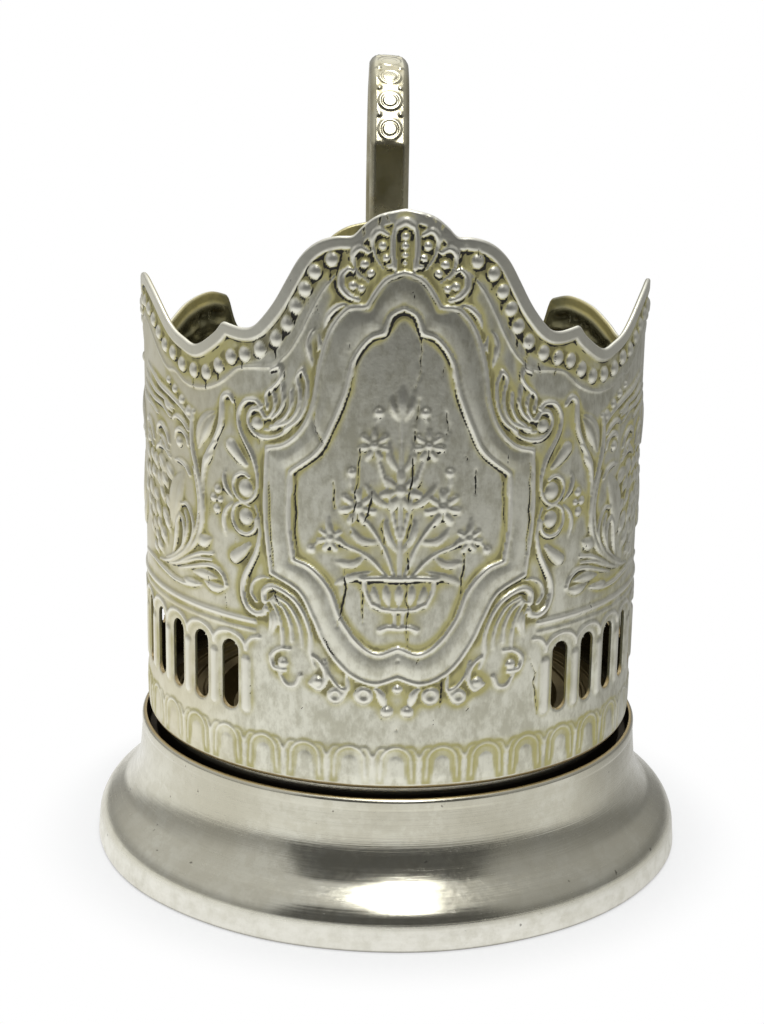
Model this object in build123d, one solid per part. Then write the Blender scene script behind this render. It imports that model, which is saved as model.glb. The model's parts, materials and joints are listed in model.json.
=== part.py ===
from build123d import *
import math
import os

os.makedirs("parts", exist_ok=True)

# Tea glass holder, in millimetres. It stands on z = 0 with its axis on Z.
# The cartouche faces -Y and the handle stands at +Y. Angles round the axis are
# degrees from the middle of the cartouche, positive towards +X.

# Glass pocket and rolled shell
glass_bore_r = 34.0
shell_sheet = 0.7
shell_foot_z = 19.6
flange_width = 4.5
flange_bend_r = 1.2
seam_width = 0.8
relief = 0.35

# Scalloped rim: the notch beside the crest, and the rises of the three kinds of lobe above it
rim_z = 76.3
crest_rise = 19.25
side_rise = 6.5
back_rise = 5.6

# Pierced arcade on each side
slot_count = 12
slot_pitch_deg = 9.24
slot_width = 2.85
slot_height = 9.6
slot_foot_z = 28.1
pier_width = 1.4
course_z = 40.7
course_height = 0.8

# Tongue border round the foot of the shell
tongue_count = 36
tongue_width = 3.6
tongue_height = 4.6
tongue_foot_z = 21.2

# Cartouche frame on the front
cartouche_z = 58.0
cartouche_half_width = 17.8
cartouche_rise = 29.8
ridge_width = 0.8

# Floor plate and its clamp
floor_sheet = 0.7
floor_clearance = 0.3
dish_r = 24.6
dish_depth = 2.4
dish_slope = 2.0
ring_width = 0.8
ring_height = 0.3
ring_count = 3
screw_d = 5.0
screw_clearance = 0.2
screw_head_d = 9.5
screw_head_height = 1.5
screw_tail = 1.2
driver_slot_width = 1.2
driver_slot_depth = 0.8
washer_d = 15.0
washer_height = 1.0
lock_washer_d = 9.2
lock_washer_height = 1.3
lock_washer_gap = 1.0
nut_across_flats = 8.0
nut_height = 4.0

# Spun base
base_r = 42.1
base_sheet = 0.6
band_height = 4.5
band_groove = 0.35
band_round = 1.1
hem_width = 3.2
bulge_z = 6.3
bulge_lean = 0.5
bulge_round = 4.5
sweep_z = 12.7
sweep_lean = 0.3
sweep_round = 6.0
neck_r = 35.9
lip_z = 18.7
lip_width = 0.95
lip_round = 0.4
groove_depth = 2.6
groove_slope = 0.3
platform_gap = 0.7
bend_round = 0.3

# Handle
strap_width = 6.3
strap_thick = 3.2
strap_bevel = 0.9
handle_top_z = 109.0
bend_r = 13.0
bend_turn = 120.0
shoulder_r = 21.5
grip_lean = 10.0
lower_joint_z = 34.5
landing_drop = 10.0
landing_run = 4.0
saddle_sheet = 1.2
saddle_corner_r = 3.3
solder_layer = 0.25
solder_margin = 0.5
upper_saddle_width = 11.0
upper_saddle_height = 17.0
upper_saddle_drop = 2.6
strap_foot_inset = 2.0
lower_saddle_width = 10.0
lower_saddle_height = 14.0
stud_r = 1.8
stud_pitch = 4.95
stud_count = 4
stud_height = 0.35
stud_start = 2.1

# How far a cutting shape reaches past what it cuts
cut_margin = 3.0

# Sizes that follow from the driving ones
wall_r = glass_bore_r + shell_sheet
relief_r = wall_r + relief
flange_top_z = shell_foot_z + shell_sheet
floor_top_z = flange_top_z + floor_sheet
rim_top_z = rim_z + crest_rise
blank_top_z = rim_top_z + cut_margin
solder_r = wall_r + solder_layer
saddle_r = solder_r + saddle_sheet


def on_wall(radius, degrees, z):
    angle = math.radians(degrees)
    return Vector(radius * math.sin(angle), -radius * math.cos(angle), z)


def wall_plane(degrees, z):
    # Sketch plane that faces out of the axis, with its X up the wall
    outward = on_wall(1.0, degrees, 0.0)
    return Plane(origin=(0, 0, z), x_dir=(0, 0, 1), z_dir=outward)


def turned(points):
    # Solid of revolution from a closed outline of radius and height
    outline = make_face(Polyline(*points, close=True))
    return revolve(Plane.XZ * outline, axis=Axis.Z)


def ring_wall(inner_r, outer_r, low_z, high_z):
    return turned([(inner_r, low_z), (outer_r, low_z), (outer_r, high_z), (inner_r, high_z)])


# Rim outline, half of it, as runs between corners: degrees and rise above the notch
crest_lobe = [(0.0, 1.0), (5.4, 0.956), (8.6, 0.883), (10.4, 0.818)]
crest_shoulder = [(10.4, 0.818), (14.4, 0.81), (18.3, 0.764), (21.6, 0.67), (24.6, 0.514),
                  (27.1, 0.379), (29.9, 0.265), (32.6, 0.187), (35.6, 0.169), (40.7, 0.192)]
side_lobe = [(42.7, 0.34), (48.8, 0.0), (53.5, 0.07), (58.3, 0.23), (65.0, 0.63), (70.0, 0.86),
             (75.8, 1.0), (82.0, 0.95), (89.0, 0.65), (96.0, 0.1), (102.0, -0.47), (107.5, -0.75),
             (113.8, -0.52), (120.8, -0.26), (129.0, -0.14), (135.3, -0.28)]
back_lobe = [(138.0, -1.15), (143.0, -1.5), (150.0, -1.42), (158.0, -0.7), (166.0, 0.42),
             (173.0, 0.88), (180.0, 1.0)]


def rises(run, height):
    return [(degrees, share * height) for degrees, share in run]


def mirrored(run):
    return [(-degrees, rise) for degrees, rise in run]


lobe = rises(crest_lobe, crest_rise)
shoulder = rises(crest_shoulder, crest_rise)
side = [shoulder[-1]] + rises(side_lobe, side_rise)
back = [side[-1]] + rises(back_lobe, back_rise)
back_far = [(360.0 - degrees, rise) for degrees, rise in reversed(back[:-1])]
rim_runs = [mirrored(reversed(lobe[1:])) + lobe, shoulder, mirrored(shoulder), side, mirrored(side),
            back + back_far]


def above_rim(run):
    # Everything over one run of the rim, as a fan of the run drawn out from the axis
    near = Spline(*[on_wall(glass_bore_r - cut_margin, degrees, rim_z + rise) for degrees, rise in run])
    far = Spline(*[on_wall(relief_r + cut_margin, degrees, rim_z + rise) for degrees, rise in run])
    fan = Face.make_surface_from_curves(near.edge(), far.edge())
    return extrude(fan, amount=rim_top_z, dir=(0, 0, 1))


# Cartouche frame: half outlines from the top to the bottom, as runs between corners,
# in shares of its half width along the wall and of its rise from the middle
outer_frame = [[(0.0, 1.0), (0.12, 0.97), (0.2, 0.91), (0.25, 0.855)],
               [(0.25, 0.855), (0.39, 0.84), (0.505, 0.75), (0.58, 0.605), (0.625, 0.445), (0.7, 0.33),
                (0.83, 0.25), (0.985, 0.22)],
               [(0.985, 0.22), (1.0, -0.065), (0.95, -0.33)],
               [(0.95, -0.33), (0.73, -0.395), (0.62, -0.505), (0.545, -0.6), (0.42, -0.71), (0.29, -0.77),
                (0.15, -0.79), (0.0, -0.76)]]
inner_frame = [[(0.0, 0.852), (0.09, 0.82), (0.135, 0.748)],
               [(0.135, 0.748), (0.24, 0.72), (0.345, 0.63), (0.405, 0.487), (0.505, 0.336), (0.6, 0.228),
                (0.8, 0.13)],
               [(0.8, 0.13), (0.815, -0.087), (0.775, -0.258)],
               [(0.775, -0.258), (0.635, -0.29), (0.505, -0.376), (0.42, -0.503), (0.29, -0.61),
                (0.15, -0.658), (0.0, -0.628)]]


def frame_ridge(runs):
    # A raised line on the front wall along one outline of the frame, with its corners rounded
    line = Sketch()
    for hand in (1, -1):
        for run in runs:
            points = [(hand * wall_r * math.sin(along * cartouche_half_width / wall_r),
                       cartouche_z + up * cartouche_rise) for along, up in run]
            line += trace(Spline(*points), ridge_width)
            line += Pos(*points[0]) * Circle(ridge_width / 2)
            line += Pos(*points[-1]) * Circle(ridge_width / 2)
    return extrude(Plane.XZ * line, amount=relief_r + cut_margin) & relief_skin()


def slot_angles():
    first = 90.0 - slot_pitch_deg * (slot_count - 1) / 2
    one_side = [first + slot_pitch_deg * place for place in range(slot_count)]
    return one_side + [-angle for angle in one_side]


def pier_angles():
    first = 90.0 - slot_pitch_deg * slot_count / 2
    one_side = [first + slot_pitch_deg * place for place in range(slot_count + 1)]
    return one_side + [-angle for angle in one_side]


def relief_skin():
    # The layer over the wall that all raised work is cut from
    return ring_wall(wall_r - shell_sheet / 2, relief_r, shell_foot_z + shell_sheet, blank_top_z)


def raised(shape, degrees, z):
    # A flat shape on the wall, raised by the relief
    return extrude(wall_plane(degrees, z) * shape, amount=relief_r + cut_margin) & relief_skin()


def string_course(hand):
    # A fillet over the arcade, from end pier to end pier
    half_turn = slot_pitch_deg * slot_count / 2
    bar = Pos((wall_r + relief_r - shell_sheet / 2) / 2, course_z + course_height / 2)
    bar *= Rectangle(relief + shell_sheet / 2, course_height)
    arc = revolve(Plane.XZ * bar, axis=Axis.Z, revolution_arc=2 * half_turn)
    return Rot(0, 0, 90.0 - hand * 90.0 - half_turn) * arc


def shell_wall():
    # The rolled sheet before its seam is opened: wall, inturned flange and raised work, cut to the rim
    bend_z = flange_top_z + flange_bend_r
    bend_in_r = glass_bore_r - flange_bend_r
    inner_r = glass_bore_r - flange_width
    outline = [Line((inner_r, shell_foot_z), (bend_in_r, shell_foot_z)),
               RadiusArc((bend_in_r, shell_foot_z), (wall_r, bend_z), -flange_bend_r - shell_sheet),
               Line((wall_r, bend_z), (wall_r, blank_top_z)),
               Line((wall_r, blank_top_z), (glass_bore_r, blank_top_z)),
               Line((glass_bore_r, blank_top_z), (glass_bore_r, bend_z)),
               RadiusArc((glass_bore_r, bend_z), (bend_in_r, flange_top_z), flange_bend_r),
               Line((bend_in_r, flange_top_z), (inner_r, flange_top_z)),
               Line((inner_r, flange_top_z), (inner_r, shell_foot_z))]
    wall = revolve(Plane.XZ * make_face(outline), axis=Axis.Z)

    tongue = SlotOverall(tongue_height, tongue_width)
    tongue_z = tongue_foot_z + tongue_height / 2
    tongues = [raised(tongue, 360.0 * place / tongue_count, tongue_z) for place in range(tongue_count)]
    pier = Rectangle(slot_height - slot_width, pier_width)
    piers = [raised(pier, angle, slot_foot_z + slot_height / 2) for angle in pier_angles()]
    wall += [frame_ridge(outer_frame), frame_ridge(inner_frame)] + tongues + piers
    wall += [string_course(1), string_course(-1)]

    slot = SlotOverall(slot_height, slot_width)
    slot_z = slot_foot_z + slot_height / 2
    slots = [extrude(wall_plane(angle, slot_z) * slot, amount=relief_r + cut_margin)
             for angle in slot_angles()]
    return wall - slots - [above_rim(run) for run in rim_runs]


def seam_gap():
    return Pos(0, glass_bore_r, rim_top_z / 2) * Box(seam_width, 2 * glass_bore_r, 2 * rim_top_z)


def make_floor_plate():
    # A pressed plate that lies on the flange, with a dish for the screw and raised rings for the glass
    edge_r = glass_bore_r - flange_bend_r - floor_clearance
    low_z = flange_top_z - dish_depth
    hole_r = screw_d / 2 + screw_clearance
    plate = turned([(edge_r, flange_top_z), (edge_r, floor_top_z), (dish_r, floor_top_z),
                    (dish_r - dish_slope, low_z + floor_sheet), (hole_r, low_z + floor_sheet),
                    (hole_r, low_z), (dish_r - dish_slope, low_z), (dish_r, flange_top_z)])
    pitch = (edge_r - dish_r) / (ring_count + 1)
    for place in range(ring_count):
        middle_r = dish_r + pitch * (place + 1)
        plate += ring_wall(middle_r - ring_width / 2, middle_r + ring_width / 2,
                           floor_top_z - floor_sheet / 2, floor_top_z + ring_height)
    return plate


def make_base():
    # A spun sheet: hem, rim band, bulge, sweep up to a rounded lip, groove, platform and dish
    groove_z = lip_z - groove_depth
    platform_r = glass_bore_r - platform_gap
    dish_z = flange_top_z - dish_depth
    dish_top_r = dish_r + base_sheet
    dish_foot_r = dish_top_r - dish_slope
    hole_r = screw_d / 2 + screw_clearance
    lip_in_r = neck_r - lip_width
    upper = [(base_r - hem_width, 0), (base_r, 0), (base_r - bulge_lean, bulge_z),
             (neck_r + sweep_lean, sweep_z), (neck_r, lip_z), (lip_in_r, lip_z),
             (lip_in_r - groove_slope, groove_z), (platform_r + groove_slope, groove_z),
             (platform_r, shell_foot_z), (dish_top_r, shell_foot_z), (dish_foot_r, dish_z),
             (hole_r, dish_z)]
    upper_rounds = [band_round, bulge_round, sweep_round, lip_round, lip_round] + [bend_round] * 5
    t = base_sheet
    under = [(hole_r, dish_z - t), (dish_foot_r + t / 2, dish_z - t),
             (dish_top_r + t / 2, shell_foot_z - t), (platform_r - t, shell_foot_z - t),
             (platform_r + groove_slope - t, groove_z - t),
             (neck_r - t, groove_z - t), (neck_r + sweep_lean - t, sweep_z - t / 2),
             (base_r - bulge_lean - t, bulge_z - t / 2), (base_r - t, t), (base_r - hem_width, t)]
    under_rounds = [bend_round] * 5 + [sweep_round, bulge_round, bend_round]
    outline = [FilletPolyline(*upper, radius=upper_rounds), Line(upper[-1], under[0]),
               FilletPolyline(*under, radius=under_rounds), Line(under[-1], upper[0])]
    base = revolve(Plane.XZ * make_face(outline), axis=Axis.Z)
    groove_foot_r = base_r - bulge_lean * band_height / bulge_z - band_groove
    groove_out_r = base_r + cut_margin
    groove_half = groove_out_r - groove_foot_r
    return base - turned([(groove_foot_r, band_height), (groove_out_r, band_height - groove_half),
                          (groove_out_r, band_height + groove_half)])


def disc(diameter, hole_d, low_z, height):
    return ring_wall(hole_d / 2, diameter / 2, low_z, low_z + height)


def make_clamp():
    # The screw through the floor plate and base, with its washers and nut, from the head down
    hole_d = screw_d + 2 * screw_clearance
    head_z = flange_top_z - dish_depth + floor_sheet
    washer_z = flange_top_z - dish_depth - base_sheet - washer_height
    lock_z = washer_z - lock_washer_height
    nut_z = lock_z - nut_height
    end_z = nut_z - screw_tail
    screw = turned([(0, end_z), (screw_d / 2, end_z), (screw_d / 2, head_z), (screw_head_d / 2, head_z),
                    (screw_head_d / 2, head_z + screw_head_height), (0, head_z + screw_head_height)])
    slot_z = head_z + screw_head_height
    screw -= Pos(0, 0, slot_z) * Box(2 * screw_head_d, driver_slot_width, 2 * driver_slot_depth)
    washer = disc(washer_d, hole_d, washer_z, washer_height)
    lock = disc(lock_washer_d, hole_d, lock_z, lock_washer_height)
    lock -= Pos(lock_washer_d / 2, 0, lock_z) * Box(lock_washer_d, lock_washer_gap, 2 * cut_margin)
    hexagon = RegularPolygon(nut_across_flats / 2, 6, major_radius=False) - Circle(screw_d / 2)
    nut = Pos(0, 0, nut_z) * extrude(hexagon, amount=nut_height)
    return screw, washer, lock, nut


def saddle_pair(width, height, middle_z):
    # A curved plate on the back of the shell and the solder layer under it
    plate = RectangleRounded(height, width, saddle_corner_r)
    bed = RectangleRounded(height + 2 * solder_margin, width + 2 * solder_margin,
                           saddle_corner_r + solder_margin)
    reach = saddle_r + cut_margin
    around = wall_plane(180.0, middle_z)
    saddle = extrude(around * plate, amount=reach) & ring_wall(solder_r, saddle_r, 0, rim_top_z)
    solder = extrude(around * bed, amount=reach) & ring_wall(wall_r, solder_r, 0, rim_top_z)
    return saddle, solder


upper_saddle_z = rim_z + back_rise - upper_saddle_drop - upper_saddle_height / 2


def make_strap():
    # The bar rises from the upper saddle, bends back over the thumb rest, drops down the grip
    # and sweeps in to the lower saddle. Its path is drawn in the plane of Y and Z.
    sag = saddle_r - math.sqrt(saddle_r ** 2 - (strap_width / 2) ** 2)
    face_y = saddle_r - sag
    run_y = face_y + strap_thick / 2
    bend_z = handle_top_z - bend_r
    foot_z = upper_saddle_z - upper_saddle_height / 2 + strap_foot_inset
    rise = Line((run_y, foot_z), (run_y, bend_z))
    bend = JernArc(rise @ 1, rise % 1, bend_r - strap_thick / 2, -bend_turn)
    shoulder_arc = JernArc(bend @ 1, bend % 1, shoulder_r, -(180.0 - bend_turn + grip_lean))

    # The straight grip and the arc under it end level with the lower joint
    lean = math.radians(grip_lean)
    drop = math.radians(landing_drop)
    top = shoulder_arc @ 1
    gap_y = saddle_r + landing_run - top.X
    gap_z = lower_joint_z + landing_run * math.tan(drop) - top.Y
    arc_y = math.sin(drop) - math.cos(lean)
    arc_z = math.sin(lean) - math.cos(drop)
    scale = arc_y * math.cos(lean) - arc_z * math.sin(lean)
    grip_run = (arc_z * gap_y - arc_y * gap_z) / scale
    sweep_in_r = (gap_y * math.cos(lean) - gap_z * math.sin(lean)) / scale
    grip = Line(top, top + (shoulder_arc % 1) * grip_run)
    sweep_in = JernArc(grip @ 1, grip % 1, sweep_in_r, -(90.0 - grip_lean - landing_drop))
    landing = Line(sweep_in @ 1, sweep_in @ 1 + (sweep_in % 1) * (landing_run + strap_thick))
    path = Plane.YZ * Wire([rise, bend, shoulder_arc, grip, sweep_in, landing])

    section = chamfer(Rectangle(strap_width, strap_thick).vertices(), strap_bevel)
    start = Plane(origin=(0, run_y, foot_z), x_dir=(1, 0, 0), z_dir=(0, 0, 1))
    strap = sweep(start * section, path=path)
    for place in range(stud_count):
        turn = (stud_start + stud_pitch * place) / bend_r
        outward = Vector(0, -math.cos(turn), math.sin(turn))
        middle = Vector(0, face_y + bend_r, bend_z) + outward * bend_r
        strap += extrude(Plane(origin=middle, x_dir=(1, 0, 0), z_dir=outward) * Circle(stud_r),
                         amount=stud_height, both=True)

    # Hollow the two ends to the saddles
    top_z = upper_saddle_z + upper_saddle_height / 2
    strap -= Pos(0, 0, top_z / 2) * Cylinder(saddle_r, top_z)
    return strap


wall = shell_wall()
screw, washer, lock, nut = make_clamp()
upper_saddle, upper_solder = saddle_pair(upper_saddle_width, upper_saddle_height, upper_saddle_z)
lower_saddle, lower_solder = saddle_pair(lower_saddle_width, lower_saddle_height, lower_joint_z)
nodes = {
    "body_shell": wall - seam_gap(),
    "seam_solder": wall & seam_gap(),
    "floor_plate": make_floor_plate(),
    "base_skirt": make_base(),
    "clamp_screw": screw,
    "clamp_washer": washer,
    "lock_washer": lock,
    "clamp_nut": nut,
    "upper_saddle": upper_saddle,
    "upper_solder_bed": upper_solder,
    "lower_saddle": lower_saddle,
    "lower_solder_bed": lower_solder,
    "handle_strap": make_strap(),
}
for name, solid in nodes.items():
    export_step(solid, f"parts/{name}.step")
    print(name, round(solid.volume, 1), len(solid.solids()))
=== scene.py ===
import json
import math

import bpy
import numpy as np
from mathutils import Matrix, Vector


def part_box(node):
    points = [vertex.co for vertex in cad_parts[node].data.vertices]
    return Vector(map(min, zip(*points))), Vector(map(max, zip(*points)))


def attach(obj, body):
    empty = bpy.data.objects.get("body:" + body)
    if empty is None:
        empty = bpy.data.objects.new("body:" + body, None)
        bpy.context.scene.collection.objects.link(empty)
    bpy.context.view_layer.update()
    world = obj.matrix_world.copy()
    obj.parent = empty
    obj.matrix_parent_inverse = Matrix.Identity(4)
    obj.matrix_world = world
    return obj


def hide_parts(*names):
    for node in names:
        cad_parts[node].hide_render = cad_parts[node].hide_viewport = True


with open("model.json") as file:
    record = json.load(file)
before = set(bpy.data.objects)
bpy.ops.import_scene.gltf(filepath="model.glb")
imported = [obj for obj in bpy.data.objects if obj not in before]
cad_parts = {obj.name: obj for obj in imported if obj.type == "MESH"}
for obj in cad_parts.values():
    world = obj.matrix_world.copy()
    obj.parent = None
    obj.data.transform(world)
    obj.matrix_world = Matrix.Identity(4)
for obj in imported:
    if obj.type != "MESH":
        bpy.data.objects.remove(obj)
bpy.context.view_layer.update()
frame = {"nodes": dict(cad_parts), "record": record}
mm = 0.001
mounts = {m["name"]: m for m in frame["record"]["mounts"]}
scene = bpy.context.scene
dice = np.random.default_rng(11)


# Shader helpers

class Wire:
    # one output socket; arithmetic on it adds Math nodes
    def __init__(self, graph, socket):
        self.graph = graph
        self.socket = socket

    def calc(self, operation, first, second):
        return self.graph.node("ShaderNodeMath", {"operation": operation}, {0: first, 1: second})

    def __add__(self, other):
        return self.calc("ADD", self, other)

    def __sub__(self, other):
        return self.calc("SUBTRACT", self, other)

    def __rsub__(self, other):
        return self.calc("SUBTRACT", other, self)

    def __mul__(self, other):
        return self.calc("MULTIPLY", self, other)

    def most(self, other):
        return self.calc("MAXIMUM", self, other)

    __radd__ = __add__
    __rmul__ = __mul__


class Graph:
    def __init__(self, tree):
        self.tree = tree
        tree.nodes.clear()

    def node(self, kind, settings=None, inputs=None, out=0):
        made = self.tree.nodes.new(kind)
        for name, value in (settings or {}).items():
            setattr(made, name, value)
        for key, value in (inputs or {}).items():
            if isinstance(value, Wire):
                self.tree.links.new(value.socket, made.inputs[key])
            else:
                made.inputs[key].default_value = value
        return Wire(self, made.outputs[out]) if len(made.outputs) else made

    def tint(self, factor, first, second):
        colours = [c if isinstance(c, Wire) else (*c, 1.0) for c in (first, second)]
        return self.node("ShaderNodeMix", {"data_type": "RGBA"}, {0: factor, 6: colours[0], 7: colours[1]}, 2)

    def span(self, value, low, high, start=0.0, end=1.0):
        settings = {"interpolation_type": "SMOOTHSTEP"}
        return self.node("ShaderNodeMapRange", settings, {0: value, 1: low, 2: high, 3: start, 4: end})

    def noise(self, coords, scale, detail=3.0, rough=0.55):
        return self.node("ShaderNodeTexNoise", {}, {"Vector": coords, "Scale": scale, "Detail": detail,
                                                     "Roughness": rough})

    def stretch(self, coords, factors):
        return self.node("ShaderNodeVectorMath", {"operation": "MULTIPLY"}, {0: coords, 1: factors})

    def place(self):
        return self.node("ShaderNodeTexCoord", out=3)

    def vector(self, x, y, z=0.0):
        return self.node("ShaderNodeCombineXYZ", {}, {0: x, 1: y, 2: z})

    def parts(self, coords):
        # x, y and z of a vector
        split = self.node("ShaderNodeSeparateXYZ", {}, {0: coords}).socket.node
        return [Wire(self, socket) for socket in split.outputs]

    def length(self, coords):
        return self.node("ShaderNodeVectorMath", {"operation": "LENGTH"}, {0: coords}, 1)

    def turn(self, side, ahead):
        # angle of a flat direction, from -pi to pi
        return self.node("ShaderNodeMath", {"operation": "ARCTAN2"}, {0: side, 1: ahead})

    def grey(self, level):
        return self.node("ShaderNodeCombineColor", {}, {0: level, 1: level, 2: level})

    def mark(self, name):
        return self.node("ShaderNodeAttribute", {"attribute_name": name}, out=2)


def newFinish(name):
    material = bpy.data.materials.new(name)
    material.use_nodes = True
    return material, Graph(material.node_tree)


def closeFinish(graph, colour, rough, metallic, height, strength, depth, constants=None):
    bump = graph.node("ShaderNodeBump", {}, {"Strength": strength, "Distance": depth, "Height": height})
    inputs = {"Base Color": colour, "Roughness": rough, "Metallic": metallic, "Normal": bump}
    inputs.update(constants or {})
    surface = graph.node("ShaderNodeBsdfPrincipled", {}, inputs)
    graph.node("ShaderNodeOutputMaterial", {}, {"Surface": surface})


# Finishes

wallMarks = ("hollow", "soot", "inside", "brass", "worn")
sheetLook = {
    "silver": (0.84, 0.83, 0.705), "silverDark": (0.6, 0.585, 0.465), "worn": (0.95, 0.935, 0.83),
    "warm": (0.74, 0.69, 0.5), "warmFrom": -0.016, "warmTo": -0.030, "tarnish": (0.6, 0.555, 0.235),
    "grime": (0.13, 0.11, 0.05), "soot": (0.018, 0.016, 0.011), "brass": (0.5, 0.39, 0.19),
    "inside": (0.17, 0.16, 0.085), "insideGlint": (0.42, 0.38, 0.19), "insideDeep": (0.035, 0.028, 0.014),
    "deepZ": 0.040, "clearZ": 0.072, "rimFilm": (0.56, 0.48, 0.17), "rimDark": (0.17, 0.165, 0.08),
    "rough": 0.39, "tarnishRough": 0.6,
}


def silveredSheet():
    look = sheetLook
    material, g = newFinish("silveredSheet")
    spot = g.place()
    x, y, height = g.parts(spot)
    cloud = g.noise(spot, 130.0, 5.0, 0.62)
    broad = g.noise(spot, 38.0)
    fine = g.noise(spot, 2300.0, 3.0, 0.6)
    grain = g.noise(g.stretch(spot, (1.0, 1.0, 0.55)), 900.0, 3.0, 0.65)
    streak = g.noise(g.stretch(spot, (1.0, 1.0, 0.16)), 620.0)
    hollow, soot, inside, brass, worn = (g.mark(name) for name in wallMarks)
    patchy = g.span(broad * 0.6 + cloud * 0.4, 0.36, 0.62)
    stain = g.span(hollow * (0.3 + patchy), 0.08, 0.7)
    deep = g.span(hollow * (0.35 + streak * 1.1), 0.62, 0.95)
    black = g.span(soot * (0.15 + streak * 1.35), 0.50, 0.66)
    # plain silver, painted warm light on the left, bright on worn ridges and stained in the hollows
    colour = g.tint(g.span(cloud * 0.5 + grain * 0.5, 0.40, 0.62), look["silver"], look["silverDark"])
    colour = g.tint(g.span(x, look["warmFrom"], look["warmTo"]) * (0.35 + cloud * 0.8), colour, look["warm"])
    colour = g.tint(g.span(worn * (0.5 + grain), 0.2, 1.0) * 0.7, colour, look["worn"])
    colour = g.tint(stain * 0.88, colour, look["tarnish"])
    colour = g.tint(deep * 0.6, colour, look["grime"])
    # the lining, with painted shade darkening it towards the floor, and the film along the rim where it
    # begins
    lining = g.tint(g.span(g.noise(spot, 210.0, 4.0), 0.45, 0.75), look["inside"], look["insideGlint"])
    lining = g.tint(g.span(height, look["deepZ"], look["clearZ"]), look["insideDeep"], lining)
    film = inside * (1 - inside) * 4.0
    rimTint = g.tint(g.span(broad * 0.5 + cloud * 0.5, 0.42, 0.58), look["rimDark"], look["rimFilm"])
    colour = g.tint(film * 0.85, g.tint(inside, colour, lining), rimTint)
    colour = g.tint(g.span(brass * (0.4 + cloud), 0.3, 0.75), colour, look["brass"])
    # near-black: soot in tight crevices, and painted shadow under the raised work
    colour = g.tint(black, colour, look["soot"])
    rough = look["rough"] + stain * (look["tarnishRough"] - look["rough"])
    rough = rough + (cloud - 0.5) * 0.25 - inside * 0.12
    metallic = 1.0 - stain * 0.3 - black * 0.6 - inside * 0.35 - film * 0.45 - brass * 0.35
    closeFinish(g, colour, rough, metallic, fine * 0.35 + grain * 0.65, 0.3, 0.00012)
    return material


nickelLook = {
    "nickel": (0.71, 0.695, 0.59), "dull": (0.57, 0.545, 0.435), "band": (0.9, 0.885, 0.8),
    "brass": (0.5, 0.38, 0.17), "pit": (0.035, 0.024, 0.012), "rough": 0.2, "anisotropic": 0.3,
    "bandTop": 0.0042, "bandFade": 0.0016, "brushScale": 5200.0, "broadScale": 900.0,
}


def satinNickel():
    look = nickelLook
    material, g = newFinish("satinNickel")
    spot = g.place()
    x, y, height = g.parts(spot)
    turn = g.turn(y, x)
    radius = g.length(g.stretch(spot, (1, 1, 0)))

    def ringNoise(stretch, scale, rough=0.55):
        # noise drawn out round the axis
        return g.noise(g.vector(turn * stretch, height * scale, radius * scale), 1.0, 3.0, rough)

    brush = ringNoise(1.4, look["brushScale"], 0.65)
    broad = ringNoise(0.8, look["broadScale"])
    cloud = g.noise(spot, 60.0, 4.0)
    speck = g.noise(spot, 1100.0, 3.0, 0.65)
    mottle = g.span(g.noise(spot, 420.0, 4.0, 0.65), 0.3, 0.62)
    pits = g.span(g.noise(spot, 700.0, 2.0), 0.73, 0.78)
    brass = g.mark("brass")
    hollow = g.mark("hollow")
    band = g.span(height, look["bandTop"], look["bandTop"] - look["bandFade"])
    colour = g.tint(g.span(cloud, 0.3, 0.75), look["nickel"], look["dull"])
    colour = g.tint(g.span(broad, 0.45, 0.75) * 0.35, colour, look["dull"])
    colour = g.tint(g.span(mottle * 0.5 + speck * 0.5, 0.45, 0.75) * 0.4, colour, look["dull"])
    colour = g.tint(band * (0.45 + mottle * 0.5), colour, look["band"])
    colour = g.tint(g.span(brass * (0.45 + cloud), 0.25, 0.8) * 0.8, colour, look["brass"])
    # dark pits at random, and painted shade where the hollow mark lies: in the groove under the shell and as
    # a painted contact shadow along the foot of the band
    colour = g.tint((pits * 0.6).most(hollow), colour, look["pit"])
    rough = look["rough"] + band * 0.2 + (brush - 0.5) * 0.25 + (cloud - 0.5) * 0.16
    rough = rough + (speck - 0.5) * 0.22 + hollow * 0.3 + brass * 0.2
    closeFinish(g, colour, rough, 1.0, brush * 0.8 + speck * 0.2, 0.36, 0.00005,
                {"Anisotropic": look["anisotropic"]})
    return material


handleLook = {
    "nickel": (0.68, 0.65, 0.50), "dull": (0.52, 0.48, 0.33), "brass": (0.56, 0.45, 0.21),
    "tarnish": (0.16, 0.13, 0.055), "film": (0.42, 0.38, 0.2), "filmTop": 0.098, "filmFull": 0.080,
    "rough": 0.18,
}


def handleNickel():
    look = handleLook
    material, g = newFinish("handleNickel")
    spot = g.place()
    x, y, height = g.parts(spot)
    cloud = g.noise(spot, 140.0, 4.0)
    fine = g.noise(spot, 2200.0)
    drawn = g.noise(g.stretch(spot, (8000.0, 600.0, 250.0)), 1.0, 2.0)
    hollow = g.mark("hollow")
    film = g.span(height, look["filmTop"], look["filmFull"]) * g.span(cloud, 0.25, 0.6)
    colour = g.tint(g.span(cloud, 0.35, 0.75), look["nickel"], look["dull"])
    colour = g.tint(g.span(g.noise(spot, 320.0, 4.0), 0.55, 0.8) * 0.5, colour, look["brass"])
    colour = g.tint(film * 0.7, colour, look["film"])
    colour = g.tint(g.span(hollow * (0.5 + cloud), 0.2, 0.8) * 0.85, colour, look["tarnish"])
    rough = look["rough"] + film * 0.15 + (cloud - 0.5) * 0.2 + hollow * 0.2 + (fine - 0.5) * 0.08
    closeFinish(g, colour, rough, 1.0 - film * 0.45, fine * 0.5 + drawn * 0.5, 0.14, 0.00005)
    return material


brassLook = {"brass": (0.34, 0.265, 0.12), "brown": (0.13, 0.095, 0.04), "rough": 0.36, "ringScale": 3200.0}


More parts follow.
